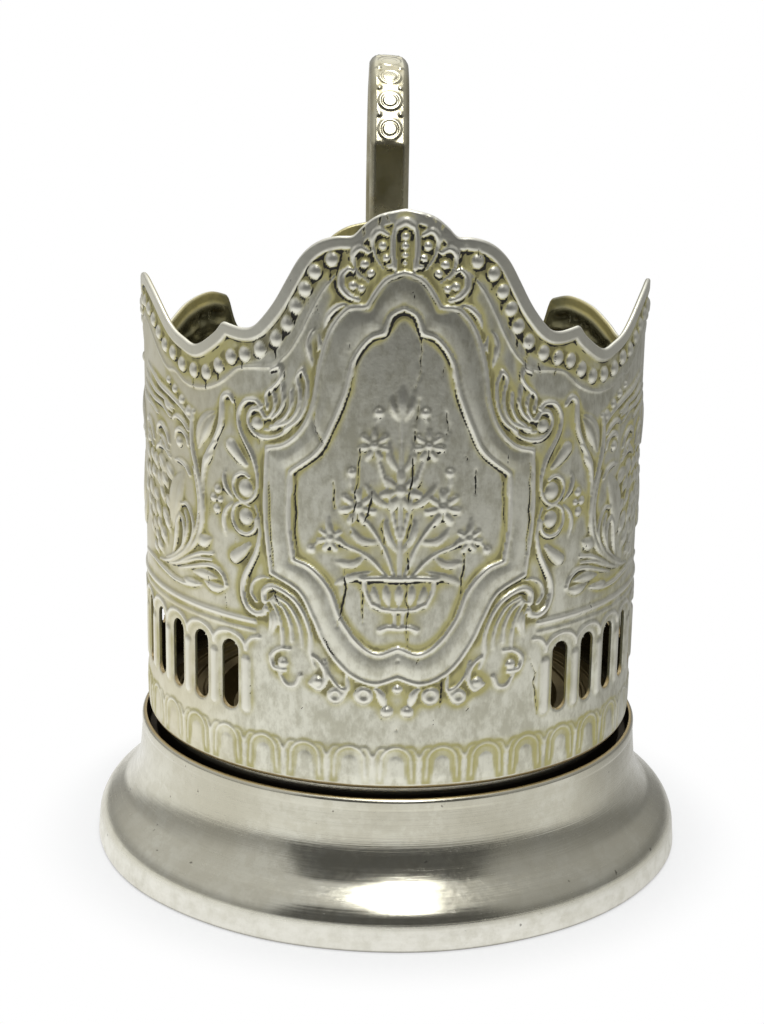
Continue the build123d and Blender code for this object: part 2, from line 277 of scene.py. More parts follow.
def wornBrass():
    look = brassLook
    material, g = newFinish("wornBrass")
    spot = g.place()
    x, y, height = g.parts(spot)
    radius = g.length(g.stretch(spot, (1, 1, 0)))
    cloud = g.noise(spot, 90.0, 5.0)
    rings = g.noise(g.vector(radius * look["ringScale"], g.turn(y, x) * 0.6), 1.0, 2.0)
    colour = g.tint(g.span(cloud, 0.35, 0.7), look["brass"], look["brown"])
    rough = look["rough"] + (cloud - 0.5) * 0.3 + (rings - 0.5) * 0.15
    closeFinish(g, colour, rough, 1.0, rings, 0.2, 0.00006)
    return material


# noises as scale and detail, bump as strength and depth
solderLook = {"bright": (0.42, 0.41, 0.38), "dark": (0.22, 0.20, 0.16), "darkens": (0.35, 0.7), "rough": 0.45,
              "cloud": (260.0, 4.0), "grain": (260.0, 4.0), "bump": (0.35, 0.0002)}
steelLook = {"bright": (0.40, 0.39, 0.37), "dark": (0.20, 0.165, 0.12), "darkens": (0.4, 0.75), "rough": 0.38,
             "cloud": (380.0, 4.0), "grain": (3000.0, 2.0), "bump": (0.2, 0.0001)}


def cloudyMetal(name, look):
    material, g = newFinish(name)
    spot = g.place()
    cloud = g.noise(spot, *look["cloud"])
    colour = g.tint(g.span(cloud, *look["darkens"]), look["bright"], look["dark"])
    rough = look["rough"] + (cloud - 0.5) * 0.3
    closeFinish(g, colour, rough, 1.0, g.noise(spot, *look["grain"]), *look["bump"])
    return material


finishes = {"silvered_sheet": silveredSheet(), "satin_nickel": satinNickel(), "handle_nickel": handleNickel(),
            "worn_brass": wornBrass(), "solder": cloudyMetal("softSolder", solderLook),
            "steel": cloudyMetal("dullSteel", steelLook)}
print("finishes", len(finishes))


# Mesh helpers, lengths in millimetres

def newPiece(name, points, quads, slot, nodes, marks=None, sharp=math.radians(45), fans=()):
    # quads make the walls, fans are triangles that close the ends
    mesh = bpy.data.meshes.new(name)
    points = np.asarray(points, np.float32).reshape(-1, 3) * mm
    fans = np.asarray(fans, np.int32).reshape(-1, 3)
    corners = np.concatenate([np.ravel(quads), fans.ravel()]).astype(np.int32)
    sizes = np.concatenate([np.full(len(quads), 4), np.full(len(fans), 3)])
    mesh.vertices.add(len(points))
    mesh.vertices.foreach_set("co", points.ravel())
    mesh.loops.add(len(corners))
    mesh.loops.foreach_set("vertex_index", corners)
    mesh.polygons.add(len(sizes))
    mesh.polygons.foreach_set("loop_start", (np.cumsum(sizes) - sizes).astype(np.int32))
    mesh.polygons.foreach_set("use_smooth", np.ones(len(sizes), bool))
    mesh.update(calc_edges=True)
    mesh.validate()
    mesh.set_sharp_from_angle(angle=sharp)
    for mark, values in (marks or {}).items():
        layer = mesh.attributes.new(mark, "FLOAT", "POINT")
        layer.data.foreach_set("value", np.asarray(values, np.float32).ravel())
    piece = bpy.data.objects.new(name, mesh)
    scene.collection.objects.link(piece)
    mesh.materials.append(finishes[slot])
    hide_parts(*nodes)
    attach(piece, "root")
    print(name, len(points), "points", len(sizes), "faces")
    return piece


def gridQuads(rows, columns, wrapRows=False):
    # faces of a grid that closes round its columns
    down = np.arange(rows if wrapRows else rows - 1)
    i, j = np.meshgrid(down, np.arange(columns), indexing="ij")
    near, far = i * columns, ((i + 1) % rows) * columns
    right = (j + 1) % columns
    return np.stack([near + j, near + right, far + right, far + j], -1).reshape(-1, 4)


def roundedPath(points, radii, steps=8):
    # a path of straight runs with its inner corners rounded
    points = [np.array(p, float) for p in points]
    path = [points[0]]
    for before, corner, after, radius in zip(points, points[1:], points[2:], radii):
        a = (before - corner) / np.linalg.norm(before - corner)
        b = (after - corner) / np.linalg.norm(after - corner)
        half = math.acos(np.clip(a @ b, -1, 1)) / 2
        reach = radius / math.tan(half)
        middle = corner + (a + b) / np.linalg.norm(a + b) * radius / math.sin(half)
        start, end = corner + a * reach - middle, corner + b * reach - middle
        sweep = math.atan2(start[0] * end[1] - start[1] * end[0], start @ end)
        for k in range(steps + 1):
            turn = sweep * k / steps
            c, s = math.cos(turn), math.sin(turn)
            path.append(middle + [c * start[0] - s * start[1], s * start[0] + c * start[1]])
    path.append(points[-1])
    return np.array(path)


def fillPath(path, pitch):
    # the same path with long runs divided
    filled = [path[0]]
    for a, b in zip(path, path[1:]):
        count = max(1, int(np.linalg.norm(b - a) / pitch))
        filled += [a + (b - a) * k / count for k in range(1, count + 1)]
    return np.array(filled)


def lathe(name, profile, columns, slot, nodes, marks=None, wobble=None):
    # profile is a closed loop of radius and height, outer side first going up
    turn = np.arange(columns) / columns * 2 * math.pi
    radius = profile[:, :1] + np.zeros((1, columns))
    height = profile[:, 1:] + np.zeros((1, columns))
    if wobble is not None:
        radius = radius + wobble(radius, height, turn[None, :])
    points = np.stack([radius * np.sin(turn), -radius * np.cos(turn), height], -1)
    quads = gridQuads(len(profile), columns, wrapRows=True)
    marks = {mark: np.repeat(values, columns) for mark, values in (marks or {}).items()}
    return newPiece(name, points, quads, slot, nodes, marks)


def closedEnds(points, count, inward=False):
    # adds a hub to the first and the last ring of points, with the triangles round it
    points = points.reshape(-1, 3)
    fans = []
    for start, flip in ((0, inward), (len(points) - count, not inward)):
        ring = np.arange(count) + start
        fan = np.stack([ring, np.roll(ring, -1), np.full(count, len(points))], -1)
        fans.append(fan[:, ::-1] if flip else fan)
        points = np.vstack([points, points[ring].mean(0)])
    return points, np.vstack(fans)


def smoothCurve(points, step=0.15):
    # a smooth curve through given points
    points = np.array(points, float)
    if len(points) == 2:
        points = np.array([points[0], points.mean(0), points[1]])
    ends = 2 * points[0] - points[1], 2 * points[-1] - points[-2]
    padded = np.vstack([ends[0], points, ends[1]])
    curve = []
    for a, b, c, d in zip(padded, padded[1:], padded[2:], padded[3:]):
        count = max(2, int(np.linalg.norm(c - b) / step))
        t = (np.arange(count) / count)[:, None]
        curve.append(0.5 * (2 * b + (c - a) * t + (2 * a - 5 * b + 4 * c - d) * t ** 2
                            + (3 * b - a - 3 * c + d) * t ** 3))
    return np.vstack(curve + [points[-1:]])


# Shell: sizes from the frame, raised work drawn on the unrolled wall

shellLow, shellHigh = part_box("body_shell")
shell = {
    "boreR": mounts["glass_bore"]["dims"]["r_mm"], "sheet": 0.7, "footZ": shellLow.z / mm,
    "bendR": 1.2, "flange": 4.5, "rimZ": 76.3, "crestRise": shellHigh.z / mm - 76.3, "sideRise": 6.5,
    "backRise": 5.6, "beltZ": 42.0, "finePitch": 0.2, "backPitch": 0.33, "frontTurn": 100.0,
    "slotCount": 12, "slotPitch": 9.24, "slotWidth": 2.85, "slotHeight": 9.6, "slotFootZ": 28.1,
    "tongueCount": 36, "dimple": 1.0, "rimWear": 1.3, "depth": 0.64, "footBend": 0.9,
}
wallR = shell["boreR"] + shell["sheet"]
bendZ = shell["footZ"] + shell["footBend"]
perDegree = math.radians(wallR)
slotFirst = 90 - shell["slotPitch"] * (shell["slotCount"] - 1) / 2

rimRuns = [
    ("crestRise", [(0.0, 1.0), (5.4, 0.956), (8.6, 0.883), (10.4, 0.818)]),
    ("crestRise", [(10.4, 0.818), (14.4, 0.81), (18.3, 0.764), (21.6, 0.67), (24.6, 0.514), (27.1, 0.379),
                   (29.9, 0.265), (32.6, 0.187), (35.6, 0.169), (40.7, 0.192)]),
    ("sideRise", [(40.7, 0.5686), (42.7, 0.34), (48.8, 0.0), (53.5, 0.07), (58.3, 0.23), (65.0, 0.63),
                  (70.0, 0.86), (75.8, 1.0), (82.0, 0.95), (89.0, 0.65), (96.0, 0.1), (102.0, -0.47),
                  (107.5, -0.75), (113.8, -0.52), (120.8, -0.26), (129.0, -0.14), (135.3, -0.28)]),
    ("backRise", [(135.3, -0.325), (138.0, -1.15), (143.0, -1.5), (150.0, -1.1), (157.0, -0.1),
                  (163.0, 0.8), (168.0, 1.24), (174.0, 1.42), (180.0, 1.46)]),
]


def rimHeight(degrees):
    # the runs joined, with the corners between them worn round
    step = 0.05
    turn = np.linspace(-185, 185, int(370 / step) + 1)
    height = np.zeros_like(turn)
    folded = 180 - np.abs(180 - np.abs(turn))
    for rise, run in rimRuns:
        x = [place for place, share in run]
        curve = smoothCurve(run, step)
        here = (folded >= x[0]) & (folded <= x[-1])
        height[here] = np.interp(folded[here], curve[:, 0], curve[:, 1]) * shell[rise]
    window = np.hanning(2 * int(shell["rimWear"] / step) + 1)
    worn = np.convolve(height, window / window.sum(), mode="same")
    return shell["rimZ"] + np.interp(degrees, turn, worn)


def wallColumns():
    edge = shell["frontTurn"]
    front = np.arange(0, edge, shell["finePitch"] / perDegree)
    back = np.linspace(edge, 180, int((180 - edge) * perDegree / shell["backPitch"]))
    half = np.concatenate([front, back])
    for rise, run in rimRuns[:-1]:
        corner = run[-1][0]
        half[np.abs(half - corner).argmin()] = corner
    return np.concatenate([-half[-2:0:-1], half])


columns = wallColumns()
rim = rimHeight(columns)
lowCount = int((shell["beltZ"] - bendZ) / shell["finePitch"])
highCount = 3 * int((shell["rimZ"] + shell["crestRise"] - shell["beltZ"]) / shell["finePitch"] / 3.3)
edgeHalf = shell["sheet"] / 2
lowZ = np.linspace(bendZ, shell["beltZ"], lowCount + 1)
highShare = np.arange(1, highCount + 1)[:, None] / highCount
gridZ = np.vstack([np.repeat(lowZ[:, None], len(columns), 1),
                   shell["beltZ"] + highShare * (rim - edgeHalf - shell["beltZ"])])
columnS = columns * perDegree
gridS = np.repeat(columnS[None, :], len(gridZ), 0)
relief, sootMark, stainMark, wornMark = (np.zeros_like(gridZ) for field in range(4))
print("wall grid", gridZ.shape)


def nearPath(path, reach):
    # distance from wall points to a path and place along it, as (window, distance, share) for each stretch
    total = max(1, len(path) - 1)
    for start in range(0, total, 60):
        piece = path[start:start + 61]
        low, high = piece.min(0) - reach, piece.max(0) + reach
        first, last = np.searchsorted(columnS, (low[0], high[0]))
        if first == last:
            continue
        z = gridZ[:, first:last]
        rows, cols = np.nonzero((z > low[1]) & (z < high[1]))
        if len(rows) == 0:
            continue
        window = rows, cols + first
        ds = gridS[window][:, None] - piece[:, 0]
        dz = gridZ[window][:, None] - piece[:, 1]
        gap = ds ** 2 + dz ** 2
        nearest = gap.argmin(1)
        distance = np.sqrt(gap[np.arange(len(gap)), nearest])
        near = distance < reach
        yield (window[0][near], window[1][near]), distance[near], (nearest[near] + start) / total


def raiseTo(field, window, value):
    field[window] = np.maximum(field[window], value)


def stainAlong(points, reach, fade):
    for window, distance, share in nearPath(smoothCurve(points), reach):
        raiseTo(stainMark, window, np.clip((reach - distance) / fade, 0, 1))


def hands(points):
    # the points as drawn, and their mirror image
    points = np.array(points, float)
    yield points
    yield points * (-1, 1)


def ridge(points, width, height, ends=(1.0, 1.0), swell=0.0, mirror=True, dip=0.0):
    # a raised line: width at its ends by share, swelling between them, with an optional groove along it
    for hand in hands(points) if mirror else [points]:
        for window, distance, share in nearPath(smoothCurve(hand), width * (1 + swell) / 2):
            broad = width / 2 * (ends[0] + (ends[1] - ends[0]) * share + swell * np.sin(math.pi * share))
            broad = np.maximum(broad, 0.02)
            across = np.clip(distance / broad, 0, 1)
            top = shell["depth"] * height * np.minimum(1, broad / (width / 2)) * (1 - across ** 2.4) ** 0.6
            if dip:
                top = top - shell["depth"] * dip * np.exp(-(across / 0.28) ** 2)
            raiseTo(relief, window, top)


def leaf(points, width, height, dip=0.0):
    ridge(points, width, height, ends=(0.25, 0.12), swell=0.78, dip=dip)


def bead(s, z, radius, height, tall=1.0):
    for hand in ((1, -1) if abs(s) > 0.01 else (1,)):
        first, last = np.searchsorted(columnS, (hand * s - radius, hand * s + radius))
        gap = ((gridS[:, first:last] - hand * s) / radius) ** 2
        gap = gap + ((gridZ[:, first:last] - z) / (radius * tall)) ** 2
        top = shell["depth"] * height * np.clip(1 - gap, 0, 1) ** 0.6
        raiseTo(relief, np.s_[:, first:last], top)


def bowl(s, z, radius, depth):
    # a ring: a bead with a hollow middle
    bead(s, z, radius, depth)
    for hand in (1, -1):
        first, last = np.searchsorted(columnS, (hand * s - radius, hand * s + radius))
        gap = np.hypot(gridS[:, first:last] - hand * s, gridZ[:, first:last] - z) / (radius * 0.55)
        relief[:, first:last] -= depth * 0.4 * np.clip(1 - gap ** 2, 0, 1)


def crack(points, width=0.4, depth=0.12, shake=0.12):
    path = smoothCurve(points, 0.25)
    knots = np.arange(0, len(path) + 6, 5)
    path[:, 0] += np.interp(np.arange(len(path)), knots, dice.normal(0, shake, len(knots)))
    for window, distance, share in nearPath(path, width):
        taper = np.sin(math.pi * np.clip(share, 0.02, 0.98)) ** 0.4
        dark = np.clip(1.35 - distance / (width / 2 * taper + 0.02), 0, 1)
        raiseTo(sootMark, window, dark)
        relief[window] -= depth * dark


# Cartouche frame, in shares of its half width and rise

cartouche = {"z": 58.0, "halfWidth": 17.8, "rise": 29.8, "ridge": 0.85, "height": 0.62, "pillow": 0.42,
             "pillowEdge": 2.5}
outerFrame = [
    [(0.0, 1.0), (0.12, 0.97), (0.2, 0.91), (0.25, 0.855)],
    [(0.25, 0.855), (0.39, 0.84), (0.505, 0.75), (0.58, 0.605), (0.625, 0.445), (0.7, 0.33), (0.83, 0.25),
     (0.985, 0.22)],
    [(0.985, 0.22), (1.0, -0.065), (0.95, -0.33)],
    [(0.95, -0.33), (0.73, -0.395), (0.62, -0.505), (0.545, -0.6), (0.42, -0.71), (0.29, -0.77),
     (0.15, -0.79), (0.0, -0.76)],
]
innerFrame = [
    [(0.0, 0.852), (0.09, 0.82), (0.135, 0.748)],
    [(0.135, 0.748), (0.24, 0.72), (0.345, 0.63), (0.405, 0.487), (0.505, 0.336), (0.6, 0.228), (0.8, 0.13)],
    [(0.8, 0.13), (0.815, -0.087), (0.775, -0.258)],
    [(0.775, -0.258), (0.635, -0.29), (0.505, -0.376), (0.42, -0.503), (0.29, -0.61), (0.15, -0.658),
     (0.0, -0.628)],
]


def framePoints(run):
    return [(along * cartouche["halfWidth"], cartouche["z"] + up * cartouche["rise"]) for along, up in run]


def insideOutline(runs):
    # true for wall points within the closed outline
    half = np.vstack([smoothCurve(framePoints(run), 0.3) for run in runs])
    outline = np.vstack([half, half[::-1] * (-1, 1)])
    first, last = np.searchsorted(columnS, (-cartouche["halfWidth"] - 1, cartouche["halfWidth"] + 1))
    s, z = gridS[:, first:last], gridZ[:, first:last]
    within = np.zeros(gridZ.shape, bool)
    count = np.zeros(s.shape, int)
    for (s0, z0), (s1, z1) in zip(outline, np.roll(outline, -1, 0)):
        if abs(z1 - z0) < 1e-9:
            continue
        low, high = min(z0, z1), max(z0, z1)
        crosses = (z >= low) & (z < high)
        count[crosses] += s[crosses] < s0 + (z[crosses] - z0) / (z1 - z0) * (s1 - s0)
    within[:, first:last] = count % 2 == 1
    return within


def gapToOutline(runs, reach):
    gap = np.full(gridZ.shape, reach)
    for run in runs:
        for hand in hands(framePoints(run)):
            for window, distance, share in nearPath(smoothCurve(hand), reach):
                gap[window] = np.minimum(gap[window], distance)
    return gap


def cartoucheFrame():
    between = insideOutline(outerFrame) & ~insideOutline(innerFrame)
    gap = np.minimum(gapToOutline(outerFrame, 4.5), gapToOutline(innerFrame, 4.5))
    share = np.clip(gap / cartouche["pillowEdge"], 0, 1)
    pillow = cartouche["pillow"] * np.sqrt(1 - (1 - share) ** 2)
    raiseTo(relief, between, pillow[between])
    for run in outerFrame + innerFrame:
        ridge(framePoints(run), cartouche["ridge"], cartouche["height"])


border = {"beadR": 0.94, "beadHeight": 0.8, "frontTall": 1.14, "sideTall": 1.1, "beadDrop": 3.5,
          "lineDrop": 5.9, "firstBead": 1.6, "beadPitch": 2.45, "endS": 103.0, "lineWidth": 0.5,
          "lineHeight": 0.22}


def beadBorder():
    b = border
    line = [(8.0, 87.7), (10.1, 85.2), (11.75, 82.2), (13.1, 79.5), (14.7, 77.0), (16.9, 75.2), (19.4, 74.8),
            (22.0, 74.3), (23.4, 73.3), (25.0, 72.1), (27.3, 71.1), (29.8, 70.7), (32.3, 71.0), (34.6, 72.0)]
    beads = [(9.0, 89.1), (11.2, 87.5), (12.5, 85.25), (13.7, 83.0), (14.8, 80.75), (16.35, 78.7),
             (18.7, 77.1), (21.0, 76.2), (23.2, 75.6), (25.3, 74.25), (27.6, 73.0), (30.1, 72.85),
             (32.7, 73.2), (35.0, 74.3)]
    for s, z in beads:
        bead(s, z, b["beadR"], b["beadHeight"], tall=b["frontTall"])
    # past the front, beads and line keep their distance from the rim
    turn = np.arange(57.0, 176.0, 0.2)
    path = np.stack([turn * perDegree, rimHeight(turn)], -1)
    slope = np.gradient(path, axis=0)
    normal = np.stack([slope[:, 1], -slope[:, 0]], -1) / np.linalg.norm(slope, axis=1)[:, None]
    chain, lower = path + normal * b["beadDrop"], path + normal * b["lineDrop"]
    along = np.concatenate([[0], np.cumsum(np.linalg.norm(np.diff(chain, axis=0), axis=1))])
    keep = chain[:, 0] < b["endS"]
    for place in np.arange(b["firstBead"], along[keep][-1], b["beadPitch"]):
        s, z = (np.interp(place, along, side) for side in chain.T)
        bead(s, z, b["beadR"], b["beadHeight"], tall=b["sideTall"])
    ridge(line + [tuple(p) for p in lower[keep][::14]], b["lineWidth"], b["lineHeight"])


margin = {"width": 1.95, "fade": 0.6, "rise": 0.34, "wear": 0.75, "stainFrom": 1.6, "stainTo": 4.4}


def rimMargin():
    # the plain raised edge along the rim, worn bright, with a stain below it
    m = margin
    turn = np.linspace(0, 180, 2400)
    for hand in hands(np.stack([turn * perDegree, rimHeight(turn)], -1)):
        for window, distance, share in nearPath(hand, 5.4):
            edge = np.clip((m["width"] - distance) / m["fade"], 0, 1)
            raiseTo(relief, window, m["rise"] * edge ** 2 * (3 - 2 * edge))
            raiseTo(wornMark, window, m["wear"] * edge)
            stain = np.clip((distance - m["stainFrom"]) / 0.4, 0, 1)
            raiseTo(stainMark, window, stain * np.clip((m["stainTo"] - distance) / 1.4, 0, 1))


def fanCrest():
    # a shell of fat lobes, each with beads below it
    ridge([(1.25, 88.3), (1.5, 90.6), (1.35, 92.6), (0.85, 93.8), (0.0, 94.2)], 0.85, 0.85)
    ridge([(-0.95, 93.5), (0.0, 94.0), (0.95, 93.5)], 1.3, 0.95, swell=0.2, mirror=False)
    for z, radius in ((92.2, 0.62), (91.0, 0.52), (89.9, 0.46), (88.9, 0.38)):
        bead(0.0, z, radius, 0.7)
    lobes = [
        ([(3.95, 90.9), (4.0, 92.0), (3.25, 92.9), (2.2, 92.4)], [(3.95, 91.2), (3.6, 89.7), (2.5, 88.0)],
         [(2.75, 91.0, 0.64), (2.3, 89.5, 0.52), (1.95, 88.5, 0.4)]),
        ([(6.35, 88.9), (6.3, 90.0), (5.5, 90.7), (4.5, 90.2)], [(6.35, 89.2), (5.8, 87.8), (4.4, 86.5)],
         [(4.95, 88.7, 0.62), (4.15, 87.6, 0.5)]),
        ([(6.9, 88.1), (7.7, 87.2), (7.75, 85.9), (6.9, 84.8), (5.7, 84.3)],
         [(6.9, 88.1), (6.2, 87.7), (5.5, 86.9)], [(6.35, 86.0, 0.66), (5.3, 85.7, 0.54)]),
    ]
    for cap, leg, beads in lobes:
        ridge(cap, 1.15, 0.88, ends=(0.6, 0.7), swell=0.35)
        ridge(leg, 0.62, 0.62, ends=(1.0, 0.5))
        for s, z, radius in beads:
            bead(s, z, radius, 0.68)
    leaf([(6.1, 83.75), (7.8, 83.5), (9.2, 82.3), (10.0, 80.3)], 0.95, 0.6)


def upperScrolls():
    # slim leaves beside the frame, acanthus tuft and the great scroll of each upper corner
    leaf([(11.35, 75.6), (11.95, 78.2), (11.6, 79.8), (10.85, 80.5)], 0.75, 0.6)
    leaf([(10.75, 77.4), (10.4, 78.6), (10.75, 79.9)], 0.6, 0.5)
    for strand, width in (
            ([(12.7, 75.2), (12.0, 73.4), (12.2, 70.8), (13.2, 68.7), (15.0, 67.3)], 0.62),
            ([(12.7, 75.2), (13.4, 74.2), (13.0, 72.0), (13.3, 70.0), (14.2, 68.6), (15.5, 67.8),
              (17.0, 67.4)], 0.6),
            ([(14.2, 72.2), (14.25, 70.3), (15.0, 68.8), (16.3, 67.9)], 0.55),
            ([(15.5, 73.0), (15.25, 71.0), (15.8, 69.5), (16.8, 68.5)], 0.55),
            ([(17.5, 69.6), (17.75, 71.3), (17.1, 72.2), (16.45, 71.0), (16.6, 69.6), (17.3, 68.5)], 0.5),
            ([(16.8, 74.8), (15.9, 75.2), (15.5, 74.2), (16.2, 73.0), (17.0, 72.3)], 0.6)):
        ridge(strand, width, 0.58)
    ridge([(17.9, 68.5), (18.6, 69.35), (19.75, 69.3), (20.4, 68.1), (20.0, 66.8), (18.6, 65.9), (16.5, 66.1),
           (14.7, 67.2), (13.3, 69.1), (12.5, 71.3), (12.1, 73.4)], 1.05, 0.72, ends=(0.8, 0.3))
    bead(19.0, 67.6, 0.95, 0.66)
    ridge([(17.9, 66.9), (16.5, 67.1), (15.2, 68.2), (14.2, 69.9), (13.6, 71.6)], 0.5, 0.4, ends=(0.8, 0.3))
    ridge([(18.4, 69.9), (19.4, 70.55), (20.9, 70.2), (21.9, 68.6), (21.8, 66.8), (20.9, 65.0), (19.8, 63.2),
           (19.15, 61.3), (19.0, 59.5), (19.5, 57.9), (20.7, 57.05), (22.1, 57.4), (22.9, 58.7), (22.5, 60.1),
           (21.3, 60.7), (20.3, 60.3)], 0.85, 0.7, ends=(0.9, 0.6))


def pairedVolutes():
    bead(20.75, 58.75, 1.3, 0.8)
    bead(20.7, 55.0, 1.25, 0.8)
    ridge([(20.2, 56.5), (21.6, 56.75), (22.75, 55.9), (22.95, 54.3), (22.0, 52.95), (20.5, 52.75),
           (19.4, 53.6), (19.1, 55.0)], 0.75, 0.65, ends=(0.6, 0.9))
    ridge([(19.3, 56.6), (18.7, 54.8), (18.7, 52.6), (19.2, 50.6), (20.1, 48.7), (21.0, 46.9), (21.3, 45.0),
           (20.7, 43.2), (19.4, 42.3), (18.1, 42.5), (17.7, 43.2)], 0.95, 0.72, ends=(0.5, 1.35))
    leaf([(22.9, 57.0), (24.1, 58.4), (24.5, 59.9), (24.0, 61.0)], 0.85, 0.6, dip=0.12)
    leaf([(22.9, 56.7), (24.2, 55.2), (24.5, 53.4), (24.0, 51.5)], 0.85, 0.6, dip=0.12)
    for s, z, radius in ((25.6, 57.85, 0.68), (26.35, 56.6, 0.66), (25.75, 55.2, 0.7), (25.15, 56.55, 0.5)):
        bead(s, z, radius, 0.6)
    ridge([(20.9, 61.9), (22.0, 62.9), (23.2, 64.1)], 1.9, 0.6, ends=(0.45, 1.0), swell=0.15)
    ridge([(20.3, 51.3), (21.3, 50.3), (22.6, 49.3)], 1.8, 0.6, ends=(0.45, 1.0), swell=0.15)


sprayLines = [
    # hooked stem and the long stem behind it
    ([(22.8, 69.9), (23.6, 70.75), (24.6, 70.1), (24.75, 68.3), (25.1, 66.4), (26.0, 64.6),
      (27.2, 63.0)], 0.8),
    ([(26.1, 64.1), (27.2, 62.6), (28.0, 60.8), (28.4, 58.8), (28.3, 57.0)], 0.8),
    ([(30.3, 67.4), (30.75, 65.0), (30.5, 62.2), (29.7, 60.0), (28.9, 57.6), (28.5, 55.0), (28.7, 52.6),
      (29.6, 50.4), (31.2, 48.5), (33.6, 46.9), (36.5, 45.4)], 0.8),
    ([(30.2, 59.4), (29.6, 57.4), (29.2, 55.2), (29.4, 53.0), (30.1, 51.0), (31.6, 49.2), (33.8, 47.5)], 0.5),
    ([(33.2, 54.3), (32.0, 54.5), (30.9, 53.4), (30.4, 51.8), (30.8, 50.0), (32.2, 48.2), (34.6, 46.6),
      (37.6, 45.3), (40.4, 44.8)], 0.6),
    ([(32.4, 53.4), (31.8, 52.0), (32.0, 50.2), (33.1, 48.4), (35.2, 46.8), (38.0, 45.6)], 0.5),
    # slit leaf
    ([(33.6, 52.8), (32.8, 52.0), (32.5, 50.4), (33.0, 48.6), (34.3, 47.0)], 0.65),
    ([(33.6, 52.8), (34.4, 51.6), (34.7, 49.8), (35.1, 48.2), (36.0, 46.6)], 0.65),
    ([(29.2, 58.3), (29.7, 59.4), (30.6, 59.8)], 0.55),
    ([(31.2, 58.6), (32.1, 59.7), (33.6, 60.1), (35.0, 59.9)], 0.6),
    # sweeping lines and eyes of the whorl
    ([(31.0, 66.2), (33.0, 67.5), (36.0, 68.6), (39.0, 69.3), (42.0, 70.3), (45.0, 71.2)], 0.75),
    ([(35.2, 66.9), (37.5, 67.7), (40.4, 68.1), (43.4, 68.9), (46.4, 69.9)], 0.55),
    ([(36.2, 65.6), (38.4, 66.7), (41.2, 67.0), (44.2, 67.6), (47.2, 68.4)], 0.6),
    ([(40.4, 65.2), (42.6, 65.9), (45.4, 66.2), (48.4, 67.0)], 0.55),
    ([(31.5, 62.6), (31.9, 63.8), (33.1, 64.4), (34.4, 64.0), (35.0, 62.9)], 0.65),
    ([(31.5, 64.6), (32.6, 65.6), (34.2, 66.0), (35.6, 65.4)], 0.65),
    ([(36.5, 61.8), (37.2, 63.2), (38.8, 64.0), (40.4, 63.4), (41.0, 62.2)], 0.65),
    ([(36.8, 60.9), (38.2, 62.2), (39.9, 62.3)], 0.55),
    ([(42.0, 61.2), (42.8, 62.8), (44.6, 63.6), (46.4, 62.8)], 0.65),
    ([(42.4, 60.2), (43.8, 61.6), (45.6, 61.7)], 0.55),
    ([(36.3, 60.0), (37.8, 60.9), (39.8, 60.9), (41.4, 60.0)], 0.55),
    ([(47.6, 60.0), (48.4, 62.6), (50.2, 64.6), (52.6, 65.6)], 0.65),
    # low sprays
    ([(26.7, 48.9), (29.0, 48.4), (31.5, 47.3), (34.0, 46.0), (37.0, 45.0)], 0.6),
    ([(26.9, 48.0), (29.4, 47.6), (32.0, 46.6), (35.0, 45.4)], 0.5),
    ([(24.2, 45.0), (24.8, 46.4), (26.2, 47.2), (28.2, 47.0), (30.8, 46.2), (34.2, 45.1)], 0.6),
    ([(29.2, 44.1), (31.4, 43.5), (35.0, 43.4), (38.6, 43.9), (43.0, 44.3), (49.0, 43.9)], 0.6),
]
sprayLeaves = [
    ([(29.4, 62.8), (28.6, 64.8), (27.4, 66.6), (25.7, 68.1)], 2.0, 0.18),
    ([(28.6, 60.0), (27.6, 61.6), (26.4, 63.2)], 1.0, 0),
    ([(29.7, 49.7), (28.3, 50.3), (26.8, 50.9)], 1.4, 0),
    ([(35.8, 50.6), (35.2, 53.6), (34.2, 56.4), (32.6, 58.8)], 2.6, 0.1),
    ([(28.3, 44.8), (26.2, 44.4), (24.2, 44.7)], 1.1, 0),
    ([(33.0, 43.9), (31.0, 43.9), (29.3, 44.3)], 0.9, 0),
    ([(30.6, 45.5), (28.0, 45.8), (25.4, 45.7)], 1.2, 0),
    ([(35.4, 66.3), (36.6, 67.0), (38.2, 67.3)], 1.0, 0),
    # palmette at the middle of the side
    ([(54.4, 47.0), (54.4, 52.0), (54.4, 58.0)], 2.2, 0.25),
    ([(53.4, 47.6), (51.2, 51.6), (50.6, 56.4)], 1.7, 0.2),
    ([(52.4, 46.6), (49.2, 49.2), (47.6, 53.0)], 1.6, 0.2),
    ([(54.0, 60.6), (52.8, 63.0), (53.2, 66.4)], 1.3, 0.15),
]
sprayBeads = [(31.3, 67.2, 0.78), (32.95, 68.4, 0.72), (34.7, 69.5, 0.66), (36.4, 70.4, 0.56),
              (33.7, 62.6, 0.75), (38.9, 61.4, 0.6), (44.4, 60.8, 0.6), (54.4, 60.0, 0.9), (54.4, 70.0, 0.8)]
# height, start and count of each row of hooked leaves
sprayHooks = [(58.4, 36.9, 5), (56.2, 37.8, 5), (54.0, 37.2, 5), (51.9, 38.2, 4), (49.9, 37.6, 4),
              (48.0, 38.8, 3), (46.3, 39.8, 2)]
spray = {"broaden": 1.45, "lineHeight": 0.66, "leafHeight": 0.64, "beadHeight": 0.62, "hookPitch": 2.15,
         "hookWidth": 1.6, "hookHeight": 0.66, "hookDip": 0.12}


